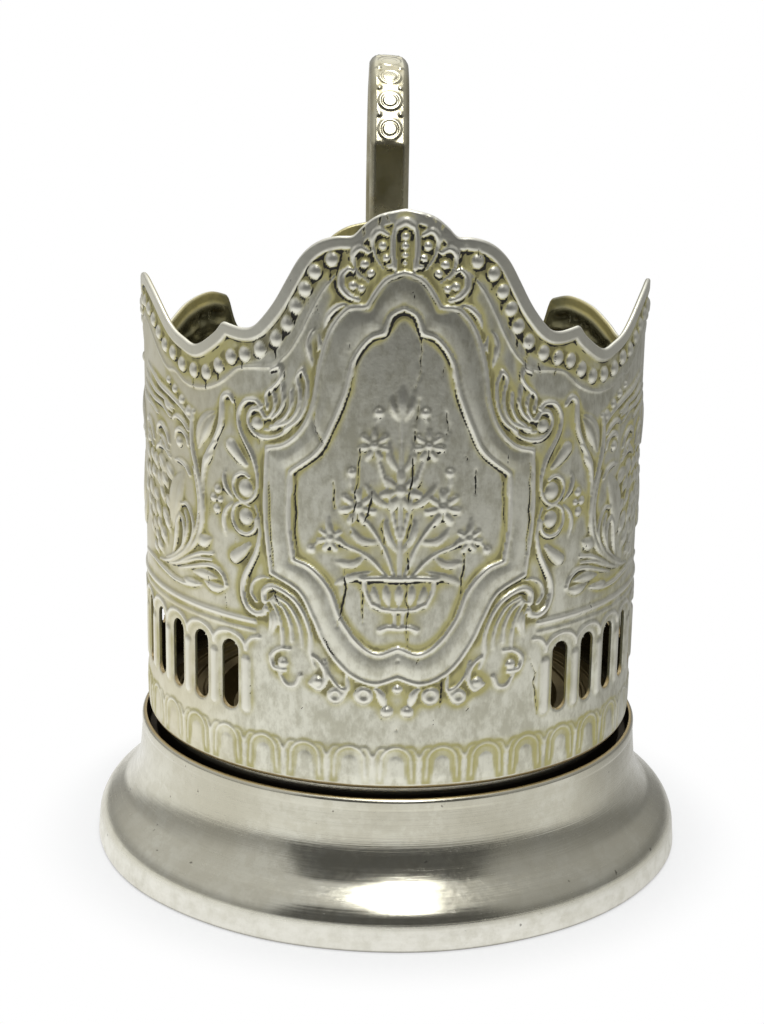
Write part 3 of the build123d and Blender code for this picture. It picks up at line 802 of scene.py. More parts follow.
def sideSpray():
    # each side mirrors about its own middle
    middle = 90 * perDegree
    for flip in (1, -1):
        def turned(points):
            return [(middle + (s - middle) * flip, z) for s, z in points]

        for points, width in sprayLines:
            ridge(turned(points), width * spray["broaden"], spray["lineHeight"], ends=(0.65, 0.4), swell=0.35)
        for points, width, dip in sprayLeaves:
            leaf(turned(points), width * spray["broaden"], spray["leafHeight"], dip)
        for s, z, radius in sprayBeads:
            bead(middle + (s - middle) * flip, z, radius, spray["beadHeight"])
        for z, first, count in sprayHooks:
            for s in first + spray["hookPitch"] * np.arange(count) + dice.uniform(-0.45, 0.45, count):
                size, lean = dice.uniform(0.8, 1.35), dice.uniform(-0.1, 0.8)
                low = z + dice.uniform(-0.5, 0.5)
                hook = [(s - 1.1 * size, low - 0.9 * size), (s - 0.2, low + lean),
                        (s + 1.15 * size, low + 0.8)]
                leaf(turned(hook), spray["hookWidth"] * size, spray["hookHeight"], spray["hookDip"])


def lowerScrolls():
    # inner curl, hanging fronds and bead-ended drops of each lower corner, with the pendants under the frame
    for points, width, height, ends in (
            ([(16.6, 47.3), (18.2, 47.3), (19.6, 46.5), (20.0, 45.0), (19.2, 43.9)], 0.7, 0.55, (0.4, 0.9)),
            ([(17.9, 44.2), (18.0, 45.4), (16.9, 46.25), (15.2, 45.9), (13.4, 44.7), (12.1, 42.6),
              (11.4, 40.2), (11.4, 37.9), (10.8, 36.0)], 1.05, 0.75, (1.1, 0.4)),
            ([(16.4, 45.1), (14.6, 44.2), (13.3, 42.3), (12.7, 40.2), (12.6, 38.6)], 0.8, 0.6, (0.8, 0.5)),
            ([(16.6, 44.7), (15.1, 43.4), (14.2, 41.4), (14.0, 39.2)], 0.85, 0.6, (0.8, 0.6)),
            ([(17.0, 44.4), (15.9, 42.6), (15.4, 40.4), (15.3, 38.4)], 0.85, 0.6, (0.8, 0.6)),
            ([(14.3, 38.1), (15.8, 37.9), (16.9, 36.8), (16.5, 35.4), (15.2, 35.2)], 0.95, 0.7, (0.5, 1.1)),
            ([(12.8, 34.7), (13.5, 33.3), (14.8, 33.2), (15.7, 34.6)], 1.25, 0.75, (0.5, 0.5)),
            ([(11.0, 37.6), (9.8, 36.5), (9.3, 34.7), (10.1, 33.3), (11.2, 33.9)], 0.95, 0.7, (0.5, 1.0)),
            ([(9.5, 37.2), (8.9, 35.3), (7.9, 34.0), (7.0, 33.4)], 0.75, 0.6, (0.5, 0.9)),
            ([(6.6, 35.4), (6.4, 33.8), (7.1, 32.4)], 0.7, 0.5, (0.6, 1.0)),
            ([(5.4, 34.6), (4.2, 34.9), (3.0, 34.2)], 0.7, 0.5, (0.5, 0.8))):
        ridge(points, width, height, ends=ends)
    leaf([(17.3, 43.6), (16.6, 41.8), (17.2, 39.6)], 1.5, 0.66, dip=0.3)
    bead(15.3, 36.1, 0.75, 0.75)
    bead(10.5, 34.2, 0.85, 0.8)
    bowl(8.0, 32.5, 1.2, 0.8)
    bowl(4.3, 32.8, 1.35, 0.8)
    leaf([(3.4, 33.8), (2.4, 33.4), (1.8, 31.9), (1.3, 31.0)], 1.3, 0.66)
    bead(1.35, 30.6, 0.85, 0.75)
    bead(0.0, 33.75, 0.7, 0.75)


arches = {"spring": 0.75, "rise": 2.0, "width": 0.7, "height": 0.42, "pierWidth": 1.5, "pierHeight": 0.4,
          "overrun": 1.4, "lines": ((41.1, 0.95, 0.42), (39.75, 0.6, 0.18))}


def arcade():
    a, pitch, count = arches, shell["slotPitch"], shell["slotCount"]
    top = shell["slotFootZ"] + shell["slotHeight"]
    springZ = top - a["spring"]
    half = pitch * perDegree / 2
    turn = np.radians(np.linspace(180, 0, 13))
    for place in range(count):
        s = (slotFirst + pitch * place) * perDegree
        arch = np.stack([s + half * np.cos(turn), springZ + a["rise"] * np.sin(turn)], -1)
        ridge(arch, a["width"], a["height"])
    for place in range(count + 1):
        s = (slotFirst + pitch * (place - 0.5)) * perDegree
        ridge([(s, shell["slotFootZ"] + 0.7), (s, top - 2.3)], a["pierWidth"], a["pierHeight"])
    first = (slotFirst - pitch / 2) * perDegree
    last = (slotFirst + pitch * (count - 0.5)) * perDegree
    for z, width, height in a["lines"]:
        ridge([(first - a["overrun"], z), ((first + last) / 2, z), (last + a["overrun"], z)], width, height)
    # a half arch runs out from each end
    turn = np.radians(np.linspace(0, 90, 7))
    for end, side in ((first, -1), (last, 1)):
        halfArch = np.stack([end + side * (1 - np.cos(turn)) * 2.1, springZ + a["rise"] * np.sin(turn)], -1)
        ridge(halfArch, 0.6, 0.35)


tongues = {"halfWidth": 1.95, "archZ": 23.7, "rise": 1.9, "footHalf": 2.1, "footZ": 20.6}


def tongueBorder():
    t = tongues
    pitch = 360 / shell["tongueCount"] * perDegree
    turn = np.radians(np.linspace(180, 0, 13))
    for place in range(shell["tongueCount"]):
        s = (place - shell["tongueCount"] / 2) * pitch
        arch = np.stack([s + t["halfWidth"] * np.cos(turn), t["archZ"] + t["rise"] * np.sin(turn)], -1)
        arch = np.vstack([[s - t["footHalf"], t["footZ"]], arch, [s + t["footHalf"], t["footZ"]]])
        ridge(arch, 0.55, 0.3, mirror=False)
        stainAlong(arch, 0.9, 0.5)
        ridge([(s, 20.9), (s, 22.2), (s, 23.3)], 2.5, 0.2, ends=(1.0, 0.85), mirror=False)
        # a dart between two wings, half way to the next tongue
        middle = s + pitch / 2
        for side in (-1, 1):
            wing = [(middle + side * 1.5, 25.5), (middle + side * 0.75, 25.3), (middle + side * 0.15, 24.1)]
            ridge(wing, 0.6, 0.34, ends=(0.6, 1.0), mirror=False)
            stainAlong(wing, 0.7, 0.4)
        dart = [(middle, 24.3), (middle, 23.2), (middle, 21.0)]
        ridge(dart, 1.0, 0.36, ends=(0.9, 0.25), swell=0.2, mirror=False)


bouquetLines = [
    # bowl and foot
    ([(3.4, 45.0), (4.2, 46.6), (4.5, 48.4)], 0.6, 0.4),
    ([(0.0, 44.4), (1.9, 44.5), (3.4, 45.2)], 0.6, 0.4),
    ([(0.0, 48.6), (2.4, 48.65), (4.9, 48.5)], 0.75, 0.45),
    ([(0.0, 42.0), (1.4, 42.1), (2.3, 41.7)], 0.8, 0.45),
    ([(0.5, 42.2), (0.45, 43.2), (0.7, 44.4)], 0.5, 0.35),
    # stems
    ([(0.0, 48.8), (0.0, 54.0), (0.0, 59.6)], 0.5, 0.34),
    ([(0.6, 48.8), (2.2, 53.0), (4.6, 56.6)], 0.48, 0.34),
    ([(1.4, 48.8), (4.2, 51.6), (7.4, 53.0)], 0.48, 0.34),
    ([(0.3, 54.0), (1.6, 60.0), (3.0, 64.6)], 0.44, 0.32),
    ([(0.0, 59.6), (0.0, 66.0), (0.0, 70.0)], 0.44, 0.32),
    # stalks of the buds
    ([(3.2, 67.4), (3.2, 68.8), (2.9, 70.0)], 0.36, 0.26),
    ([(5.8, 59.6), (6.3, 61.0), (6.2, 62.2)], 0.36, 0.26),
    ([(9.6, 53.2), (10.6, 52.8), (11.3, 52.2)], 0.36, 0.26),
]
bouquetLeaves = [
    ([(0.2, 52.0), (1.6, 54.4), (1.8, 57.0)], 1.1), ([(2.6, 53.4), (4.9, 53.6), (6.4, 55.4)], 1.2),
    ([(4.4, 51.6), (6.0, 50.4), (8.4, 50.6)], 1.2), ([(1.0, 58.0), (3.0, 59.0), (4.6, 61.2)], 1.2),
    ([(0.1, 62.4), (1.4, 64.4), (1.5, 66.8)], 1.0), ([(6.6, 52.8), (8.8, 54.4), (9.2, 56.8)], 1.1),
    ([(3.4, 49.6), (6.2, 48.6), (8.6, 47.4)], 1.1),
]
bouquet = {"blooms": [(0.0, 60.2, 2.3), (5.4, 57.9, 2.0), (8.9, 53.6, 1.5), (3.4, 66.0, 1.7)], "petals": 7,
           "buds": [(2.9, 70.2), (6.2, 62.4), (11.4, 52.0)], "flutes": (0.0, 1.6, 3.1)}


def medallion():
    # a bouquet in a footed bowl, standing on the middle line of the field
    for points, width, height in bouquetLines:
        ridge(points, width, height)
    for s in bouquet["flutes"]:
        leaf([(s * 0.75, 44.9), (s, 46.4), (s * 1.05, 48.0)], 1.1, 0.32)
    for points, width in bouquetLeaves:
        leaf(points, width, 0.36, dip=0.12)
    # blooms: a ring of petals round a boss
    for s, z, size in bouquet["blooms"]:
        for step in range(bouquet["petals"]):
            angle = math.radians(90 + step * 360 / bouquet["petals"])
            reach = np.array([math.cos(angle), math.sin(angle)])
            petal = [tuple(np.array([s, z]) + reach * size * k) for k in (0.3, 0.65, 1.0)]
            ridge(petal, size * 0.62, 0.42, ends=(0.55, 0.75), swell=0.2, mirror=s > 0.01)
        bead(s, z, size * 0.36, 0.55)
    # bud at the top and buds at the tips
    leaf([(0.0, 69.2), (0.0, 71.2), (0.0, 73.6)], 1.5, 0.42)
    leaf([(0.3, 69.2), (1.1, 70.8), (1.3, 72.4)], 0.9, 0.36)
    for s, z in bouquet["buds"]:
        bead(s, z, 0.6, 0.42)


def seamLine():
    for side in (-1, 1):
        s = side * (180 * perDegree - 0.3)
        ridge([(s, bendZ), (s, 50.0), (s, 80.0)], 1.5, 0.14, mirror=False)


# short cracks as drop to the middle, stray of middle and end, reach down, width, depth and shake
cracks = {"underBeads": (0.5, (0.12, 0.2), (0.9, 1.7), 0.42, 0.08, 0.05),
          "overFront": (0.7, (0.2, 0.3), (1.0, 2.6), 0.22, 0.05, 0.06),
          "frontCount": 46, "frontS": (-30, 30), "frontZ": (27, 92)}


def shortCrack(s, z, drop, stray, reach, width, depth, shake):
    middle = (s + dice.normal(0, stray[0]), z - drop)
    end = (s + dice.normal(0, stray[1]), z - dice.uniform(*reach))
    crack([(s, z), middle, end], width, depth, shake)


def wearCracks():
    for points in ([(-5.2, 66.0), (-5.5, 60.0), (-6.1, 54.5)], [(2.0, 80.6), (2.1, 76.0), (1.6, 72.8)],
                   [(1.5, 65.5), (1.3, 61.0), (0.9, 57.5)], [(8.3, 52.4), (8.1, 49.0), (7.9, 46.5)],
                   [(-13.6, 61.5), (-13.7, 56.0), (-13.4, 51.0)], [(17.1, 63.0), (17.2, 56.5), (16.9, 50.5)],
                   [(-17.2, 60.2), (-17.1, 55.0), (-16.6, 48.8)], [(-6.8, 49.6), (-7.1, 45.6), (-7.9, 41.5)],
                   [(0.9, 48.4), (1.1, 44.0), (1.2, 39.6)], [(18.4, 36.6), (19.2, 32.6), (19.9, 28.4)],
                   [(-22.5, 70.4), (-22.6, 68.6), (-22.4, 67.2)], [(6.5, 90.4), (6.6, 88.8), (6.5, 87.6)],
                   [(-7.7, 90.2), (-8.1, 88.4), (-8.5, 86.8)], [(5.7, 35.4), (5.8, 33.6), (5.3, 31.2)],
                   [(13.4, 61.8), (13.6, 58.0), (13.5, 54.8)], [(-11.2, 70.2), (-10.8, 67.6), (-9.6, 65.4)],
                   [(-3.7, 60.8), (-3.9, 58.2), (-4.6, 55.4)], [(-2.0, 56.6), (-2.1, 54.0), (-2.2, 52.0)],
                   [(2.0, 72.2), (1.9, 70.4), (1.8, 68.8)], [(1.7, 68.2), (1.6, 67.0), (1.6, 66.2)],
                   [(1.2, 57.0), (1.1, 55.0), (1.1, 52.6)], [(1.0, 52.0), (1.0, 50.6), (1.1, 49.2)],
                   [(-8.4, 61.0), (-8.5, 59.0), (-8.3, 57.2)], [(-4.6, 47.0), (-4.7, 44.6), (-4.6, 42.4)],
                   [(5.6, 70.6), (5.7, 68.6), (5.5, 66.8)], [(-16.8, 46.6), (-15.9, 44.4), (-14.8, 42.8)],
                   [(9.6, 63.0), (9.7, 61.0), (9.6, 59.4)], [(-9.8, 41.0), (-8.9, 39.0), (-7.6, 37.4)]):
        crack(points)
    # short marks under the beads, then over the whole front
    for s, z in ((-16.6, 77.6), (-14.0, 82.3), (-12.6, 84.6), (-9.2, 87.7), (8.9, 87.6), (11.1, 86.3),
                 (12.4, 83.9), (13.6, 81.6), (14.7, 79.3), (16.1, 77.4), (-21.4, 75.2), (-27.8, 71.9),
                 (-30.3, 71.6), (-25.5, 73.0), (18.2, 75.9), (20.7, 75.0), (-18.9, 66.2), (-15.2, 74.6),
                 (15.9, 76.6), (-3.2, 95.1), (-2.2, 95.3), (2.4, 95.4), (3.4, 95.1), (4.6, 94.0),
                 (-4.9, 93.9), (7.4, 91.0), (9.0, 90.6), (-7.8, 90.4)):
        shortCrack(s, z, *cracks["underBeads"])
    for place in range(cracks["frontCount"]):
        s, z = dice.uniform(*cracks["frontS"]), dice.uniform(*cracks["frontZ"])
        shortCrack(s, z, *cracks["overFront"])


for work in (rimMargin, cartoucheFrame, medallion, beadBorder, fanCrest, upperScrolls, pairedVolutes,
             sideSpray, lowerScrolls, arcade, tongueBorder, seamLine):
    work()
print("raised work", round(float(relief.max()), 2), "mm")


def softened(field, columnsWide, rowsHigh):
    # box blur that wraps round the wall
    pad = np.pad(field, ((rowsHigh, rowsHigh), (0, 0)), mode="edge")
    sums = np.cumsum(np.vstack([np.zeros((1, field.shape[1])), pad]), axis=0)
    field = (sums[2 * rowsHigh + 1:] - sums[:-2 * rowsHigh - 1]) / (2 * rowsHigh + 1)
    pad = np.pad(field, ((0, 0), (columnsWide, columnsWide)), mode="wrap")
    sums = np.cumsum(np.hstack([np.zeros((field.shape[0], 1)), pad]), axis=1)
    return (sums[:, 2 * columnsWide + 1:] - sums[:, :-2 * columnsWide - 1]) / (2 * columnsWide + 1)


def slotGap(s, z):
    # signed distance to the nearest slot's outline, and the way out of it; negative inside
    pitch, first = shell["slotPitch"] * perDegree, slotFirst * perDegree
    place = np.clip(np.round((np.abs(s) - first) / pitch), 0, shell["slotCount"] - 1)
    ds = s - np.sign(s) * (first + place * pitch)
    radius = shell["slotWidth"] / 2
    low, high = shell["slotFootZ"] + radius, shell["slotFootZ"] + shell["slotHeight"] - radius
    dz = z - np.clip(z, low, high)
    length = np.hypot(ds, dz) + 1e-9
    return length - radius, ds / length, dz / length


tones = {"hollowDepth": 0.13, "stainDepth": 0.3, "stainShare": 0.62, "wornRise": 0.14, "sootDepth": 0.05,
         "sootShare": 0.9, "crestZ": 76, "crestFade": 8, "crestHollow": 0.3, "crestSoot": 0.5}


def wallTones(raised):
    # hollow, soot and worn marks of the outer wall, from how far each point stands off its surroundings; the
    # soot mark is black patina in tight crevices with painted shadow added on the down-facing sides under the
    # raised work
    t = tones
    crest = np.clip((gridZ - t["crestZ"]) / t["crestFade"], 0, 1)
    lows = softened(softened(raised, 4, 4), 4, 4)
    hollow = np.clip((lows - raised) / t["hollowDepth"], 0, 1)
    hollow = np.maximum(hollow, stainMark * np.clip(1 - raised / t["stainDepth"], 0, 1) * t["stainShare"])
    hollow = np.clip(hollow * (1 + t["crestHollow"] * crest), 0, 1)
    worn = np.maximum(np.clip((raised - lows) / t["wornRise"], 0, 1), wornMark)
    # painted shadow: the crevice darkening below is weighted to the sides that face down, under the raised
    # work
    facingDown = softened(np.gradient(raised, axis=0), 2, 2)
    tight = np.clip((softened(raised, 2, 2) - raised) / t["sootDepth"], 0, 1)
    soot = tight * np.clip(0.42 + facingDown / 0.05, 0.3, 1) * np.clip((gridZ - 30) / 18, 0.15, 1)
    soot = np.clip(soot * t["sootShare"] * (1 + t["crestSoot"] * crest), 0, 1)
    return hollow, np.maximum(sootMark, soot), worn


def wallSurface(raised):
    # points beside a slot move onto its edge; gives the gap to the slots, the places and both faces' radii
    gap, outS, outZ = slotGap(gridS, gridZ)
    close = np.abs(gap) < 0.62 * shell["finePitch"]
    wallS = np.where(close, gridS - gap * outS, gridS)
    wallZ = np.where(close, gridZ - gap * outZ, gridZ)
    gap = slotGap(wallS, wallZ)[0]
    lip = np.clip(1 - np.abs(gap) / 0.4, 0, 1) ** 2
    raised = raised - 0.16 * lip
    outerR = wallR + raised
    innerR = shell["boreR"] + shell["dimple"] * np.clip(softened(raised, 1, 1), 0, 1) + 0.14 * lip
    return gap, wallS, wallZ, outerR, np.minimum(innerR, outerR - 0.3)


def shellFaces(rowCount, gap, outStart, firstIn, lastIn):
    # faces whose middle lies in a slot are left out of both walls, and the slot's sides join the walls
    count = len(columns)
    centreGap = (gap[:-1] + gap[1:] + np.roll(gap[:-1], -1, 1) + np.roll(gap[1:], -1, 1)) / 4
    opening = np.zeros((len(gridZ) - 1, count), bool)
    opening[:lowCount] = centreGap[:lowCount] < -0.02
    keep = np.ones((rowCount, count), bool)
    keep[outStart:outStart + len(opening)] = ~opening
    keep[lastIn - (lowCount - firstIn):lastIn] = ~opening[firstIn:lowCount][::-1]

    def outAt(i, j):
        return (outStart + i) * count + j % count

    def inAt(i, j):
        return (lastIn - (i - firstIn)) * count + j % count

    def slotSide(edge, start, end):
        # faces between the outer and inner wall, along one side of the cells in edge
        i, j = np.nonzero(edge)
        a, b = (i + start[0], j + start[1]), (i + end[0], j + end[1])
        return np.stack([outAt(*a), outAt(*b), inAt(*b), inAt(*a)], -1)

    shut = np.zeros((1, count), bool)
    return np.vstack([gridQuads(rowCount, count, wrapRows=True)[keep.ravel()],
                      slotSide(opening & ~np.roll(opening, 1, 1), (0, 0), (1, 0)),
                      slotSide(opening & ~np.roll(opening, -1, 1), (1, 1), (0, 1)),
                      slotSide(opening & ~np.vstack([shut, opening[:-1]]), (0, 1), (0, 0)),
                      slotSide(opening & ~np.vstack([opening[1:], shut]), (1, 0), (1, 1))])


def shellPiece():
    wearCracks()
    raised = 0.6 * relief + 0.4 * softened(relief, 1, 1)
    raised = raised * np.clip((gridZ - bendZ - 0.1) / 0.9, 0, 1)
    hollow, soot, worn = wallTones(raised)
    gap, wallS, wallZ, outerR, innerR = wallSurface(raised)
    count, columnTurn = len(columns), columns * math.pi / 180
    blocks, marks = [], []

    def ring(radius, height):
        around = radius * np.sin(columnTurn), -radius * np.cos(columnTurn), height + 0 * columnTurn
        return np.stack(around, -1)

    def bend(middleR, middleZ, radius, angles):
        return np.stack([ring(middleR + radius * math.cos(a), middleZ + radius * math.sin(a))
                         for a in angles])

    def wall(radius, rows):
        turn = wallS[rows] / wallR
        return np.stack([radius[rows] * np.sin(turn), -radius[rows] * np.cos(turn), wallZ[rows]], -1)

    def add(points, **values):
        blocks.append(points)
        marks.append([np.broadcast_to(np.asarray(values.get(name, 0.0), float), points.shape[:2])
                      for name in wallMarks])

    # from the flange's underside round the bend, up the outer wall, over the rim and down inside
    foot, flangeR = shell["footZ"], shell["boreR"] - shell["flange"]
    bendIn, floorBend = shell["boreR"] - shell["bendR"], shell["footZ"] + shell["sheet"] + shell["bendR"]
    add(np.stack([ring(r, foot) for r in (flangeR, bendIn)]), hollow=0.6, inside=1)
    angles = np.radians(np.linspace(-90, -10, 9))
    add(bend(wallR - shell["footBend"], bendZ, shell["footBend"], angles),
        brass=np.clip(-np.sin(angles) / 0.4, 0, 1)[:, None])
    outStart = sum(len(block) for block in blocks)
    add(wall(outerR, np.arange(len(gridZ))), hollow=hollow, soot=soot, worn=worn)
    rimMid, rimHalf = (outerR[-1] + innerR[-1]) / 2, (outerR[-1] - innerR[-1]) / 2
    for angle in (25, 55, 90, 125, 155):
        a = math.radians(angle)
        edge = ring(rimMid + rimHalf * math.cos(a), rim - edgeHalf + edgeHalf * math.sin(a))
        add(edge[None], inside=0.3 if angle > 90 else 0.0, worn=1.0)
    inStart = sum(len(block) for block in blocks)
    firstIn = np.searchsorted(lowZ, floorBend)
    half = lowCount + (len(gridZ) - lowCount) // 2
    inRows = np.concatenate([np.arange(firstIn, lowCount + 1), np.arange(lowCount + 3, half, 3),
                             np.arange(half, len(gridZ))])[::-1]
    lining = 1 - 0.7 * np.clip((1.9 - (rim[None, :] - wallZ)) / 0.7, 0, 1)
    add(wall(innerR, inRows), hollow=np.clip(1.2 * (1 - lining), 0, 1)[inRows], inside=lining[inRows])
    add(bend(bendIn, floorBend, shell["bendR"], np.radians(np.linspace(-10, -90, 7))), hollow=0.5, inside=1)
    add(ring(flangeR, foot + shell["sheet"])[None], inside=1)
    points = np.vstack(blocks)
    marks = {name: np.vstack([m[k] for m in marks]) for k, name in enumerate(wallMarks)}
    # points inside the slots belong to no face and are dropped
    faces = shellFaces(len(points), gap, outStart, firstIn, inStart + len(inRows) - 1)
    used = np.zeros(len(points) * count, bool)
    used[faces.ravel()] = True
    renumber = np.cumsum(used) - 1
    points = points.reshape(-1, 3)[used]
    marks = {name: values.ravel()[used] for name, values in marks.items()}
    # slot edges show worn brass, most at their feet
    turn = np.arctan2(points[:, 0], -points[:, 1])
    edge = slotGap(turn * wallR, points[:, 2])[0]
    atFoot = np.clip((shell["slotFootZ"] + 1.6 - points[:, 2]) / 1.0, 0, 1)
    bared = np.clip(1 - np.abs(edge) / 0.3, 0, 1) * (0.2 + 0.6 * atFoot)
    marks["brass"] = np.maximum(marks["brass"], bared)
    return newPiece("shell", points, renumber[faces], "silvered_sheet", ["body_shell", "seam_solder"], marks,
                    math.radians(58))


shellPiece()


# Spun base

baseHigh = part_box("base_skirt")[1]
base = {
    "r": baseHigh.x / mm + 0.09, "topZ": baseHigh.z / mm, "sheet": 0.6, "flare": 0.3, "hem": 3.2,
    "band": (0.1, 5.0), "shoulder": (3.75, 7.65), "waist": (5.8, 10.6), "neckR": 35.75, "lipZ": 18.7,
    "lipR": 35.8, "lipWidth": 0.65, "groove": 2.6, "slope": 0.3, "platformR": 33.3, "dishR": 24.6,
    # the stain entry is the strength of painted shade: in the groove under the shell and a painted contact
    # shadow along the foot of the band
    "dishDepth": 2.4, "dishSlope": 2.0, "holeR": 2.7, "columns": 420, "crease": 0.32, "stain": 0.95,
    "brassWidth": 0.13, "upperRadii": [0.5, 4.2, 3.6, 10.5, 0.15, 0.15, 0.56, 0.06] + [0.3] * 5,
    "underRadii": [0.3] * 5 + [10.0, 4.0, 2.4, 0.3],
}


def basePiece():
    b, t = base, base["sheet"]
    grooveZ, dishZ = b["lipZ"] - b["groove"], b["topZ"] + shell["sheet"] - b["dishDepth"]
    lipIn, grooveR = b["lipR"] - b["lipWidth"], b["platformR"] + b["slope"]
    dishTop, dishFoot = b["dishR"] + t, b["dishR"] + t - b["dishSlope"]
    sweep = [(b["r"] - inset, z) for inset, z in (b["band"], b["shoulder"], b["waist"])]
    upper = [(b["r"] - b["hem"], 0), (b["r"] + b["flare"], 0), *sweep, (b["neckR"], b["lipZ"] - 1.6),
             (b["lipR"], b["lipZ"] - 1.3), (b["lipR"], b["lipZ"]), (lipIn, b["lipZ"]),
             (lipIn - b["slope"], grooveZ), (grooveR, grooveZ), (b["platformR"], b["topZ"]),
             (dishTop, b["topZ"]), (dishFoot, dishZ), (b["holeR"], dishZ)]
    under = [(b["holeR"], dishZ - t), (dishFoot + t / 2, dishZ - t), (dishTop + t / 2, b["topZ"] - t),
             (b["platformR"] - t, b["topZ"] - t), (grooveR - t, grooveZ - t), (b["neckR"] - t, grooveZ - t),
             *[(r - t, z - t / 2) for r, z in sweep[::-1]], (b["r"] - t, t), (b["r"] - b["hem"], t)]
    profile = np.vstack([fillPath(roundedPath(upper, b["upperRadii"]), 0.9),
                         fillPath(roundedPath(under, b["underRadii"]), 1.5)])
    radius, height = profile.T
    # painted contact shadow along the foot of the band, and painted shade in the groove under the shell
    crease = np.exp(-(height / b["crease"]) ** 2) * (radius > b["r"] - 2)
    grooveShade = (radius < lipIn) & (radius > b["platformR"] - 0.2)
    grooveShade = grooveShade & (height < b["topZ"] - 0.4) & (height > grooveZ - 0.1)
    lipBrass = np.exp(-((height - b["lipZ"]) / b["brassWidth"]) ** 2) * (radius > lipIn - 0.1)

    def wobble(r, z, turn):
        # the band was rolled by hand
        band = (r > b["r"] - 1.2) * np.clip(1 - z / 6, 0, 1)
        return band * (0.05 * np.sin(5 * turn + 1) + 0.04 * np.sin(11 * turn))

    return lathe("base", profile, b["columns"], "satin_nickel", ["base_skirt"],
                 {"hollow": np.maximum(crease, grooveShade) * b["stain"], "brass": lipBrass}, wobble)


basePiece()


# Floor plate

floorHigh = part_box("floor_plate")[1]
floorPlate = {"edgeR": floorHigh.x / mm, "topZ": floorHigh.z / mm - 0.3, "sheet": 0.7, "ringHeight": 0.3,
              "ringWidth": 0.8, "rings": 3, "dishR": 24.6, "dishDepth": 2.4, "slope": 2.0, "holeR": 2.7,
              "columns": 240}


def floorPiece():
    f, t = floorPlate, floorPlate["sheet"]
    low, dish = f["topZ"] - t, f["topZ"] - t - f["dishDepth"]
    dishFoot = f["dishR"] - f["slope"]
    top = [(f["edgeR"], low), (f["edgeR"], f["topZ"])]
    pitch = (f["edgeR"] - f["dishR"]) / (f["rings"] + 1)
    for place in range(f["rings"], 0, -1):
        middle = f["dishR"] + pitch * place
        for across, rise in ((0.5, 0), (0.25, 1), (-0.25, 1), (-0.5, 0)):
            top.append((middle + f["ringWidth"] * across, f["topZ"] + f["ringHeight"] * rise))
    top += [(f["dishR"], f["topZ"]), (dishFoot, dish + t), (f["holeR"], dish + t)]
    under = [(f["holeR"], dish), (dishFoot, dish), (f["dishR"], low), (f["edgeR"] - 0.2, low)]
    profile = np.vstack([fillPath(roundedPath(top, [0.15] * (len(top) - 2), 4), 1.0),
                         fillPath(np.array(under), 2.0)])
    return lathe("floorDish", profile, f["columns"], "worn_brass", ["floor_plate"])


floorPiece()


# Handle: a bevelled bar bent in the plane of Y and Z, with stamped discs over its top bend

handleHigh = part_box("handle_strap")[1]
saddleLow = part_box("upper_saddle")[0]
lowerLow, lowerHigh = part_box("lower_saddle")
handle = {
    "width": handleHigh.x / mm * 2 * 0.96, "thick": 3.2, "bevel": 0.9, "bendR": 13.0, "bendTurn": 120.0,
    "shoulderR": 21.5, "lean": 10.0, "landingDrop": 10.0, "landingRun": 4.0, "topZ": 109.8, "footInset": 2.0,
    "saddleSheet": 1.2, "solder": 0.25, "discR": 1.9, "discPitch": 4.95, "discStart": 1.55, "discs": 6,
    "discHeight": 0.14, "discGroove": 0.09, "beadR": 0.46, "beadSide": 1.65, "beadHeight": 0.2,
    "panelStart": -0.9, "panelRun": 6.24, "panelDepth": 1.5, "panelEnd": 36.0, "crown": 0.1, "twist": 0.05,
    "bevelStain": 0.42,
}
saddleR = wallR + handle["solder"] + handle["saddleSheet"]
lowerJointZ = (lowerLow.z + lowerHigh.z) / 2 / mm


def handlePath():
    # centre line as y, z and heading in degrees, and the height where the top bend begins
    h = handle
    sag = saddleR - math.sqrt(saddleR ** 2 - (h["width"] / 2) ** 2)
    runY = saddleR - sag + h["thick"] / 2
    bendStartZ = h["topZ"] - h["bendR"]
    footZ = saddleLow.z / mm + h["footInset"]
    lean, drop = math.radians(h["lean"]), math.radians(h["landingDrop"])
    samples = [(runY, footZ, 90.0)]

    def straight(size):
        y, z, way = samples[-1]
        ahead = math.cos(math.radians(way)) * size, math.sin(math.radians(way)) * size
        count = max(2, int(size / 0.35))
        for k in range(1, count + 1):
            samples.append((y + ahead[0] * k / count, z + ahead[1] * k / count, way))

    def arc(radius, sweep):
        y, z, way = samples[-1]
        centreY = y + math.sin(math.radians(way)) * radius
        centreZ = z - math.cos(math.radians(way)) * radius
        count = max(4, int(math.radians(sweep) * radius / 0.16))
        for k in range(1, count + 1):
            now = way - sweep * k / count
            turn = math.radians(now)
            samples.append((centreY - math.sin(turn) * radius, centreZ + math.cos(turn) * radius, now))

    straight(bendStartZ - footZ)
    arc(h["bendR"] - h["thick"] / 2, h["bendTurn"])
    arc(h["shoulderR"], 180 - h["bendTurn"] + h["lean"])
    # a leaning run and a last bend bring the bar to the lower saddle
    gapY = saddleR + h["landingRun"] - samples[-1][0]
    gapZ = lowerJointZ + h["landingRun"] * math.tan(drop) - samples[-1][1]
    arcY, arcZ = math.sin(drop) - math.cos(lean), math.sin(lean) - math.cos(drop)
    scale = arcY * math.cos(lean) - arcZ * math.sin(lean)
    straight((arcZ * gapY - arcY * gapZ) / scale)
    arc((gapY * math.cos(lean) - gapZ * math.sin(lean)) / scale, 90 - h["lean"] - h["landingDrop"])
    straight(h["landingRun"] - 0.4)
    return np.array(samples), bendStartZ


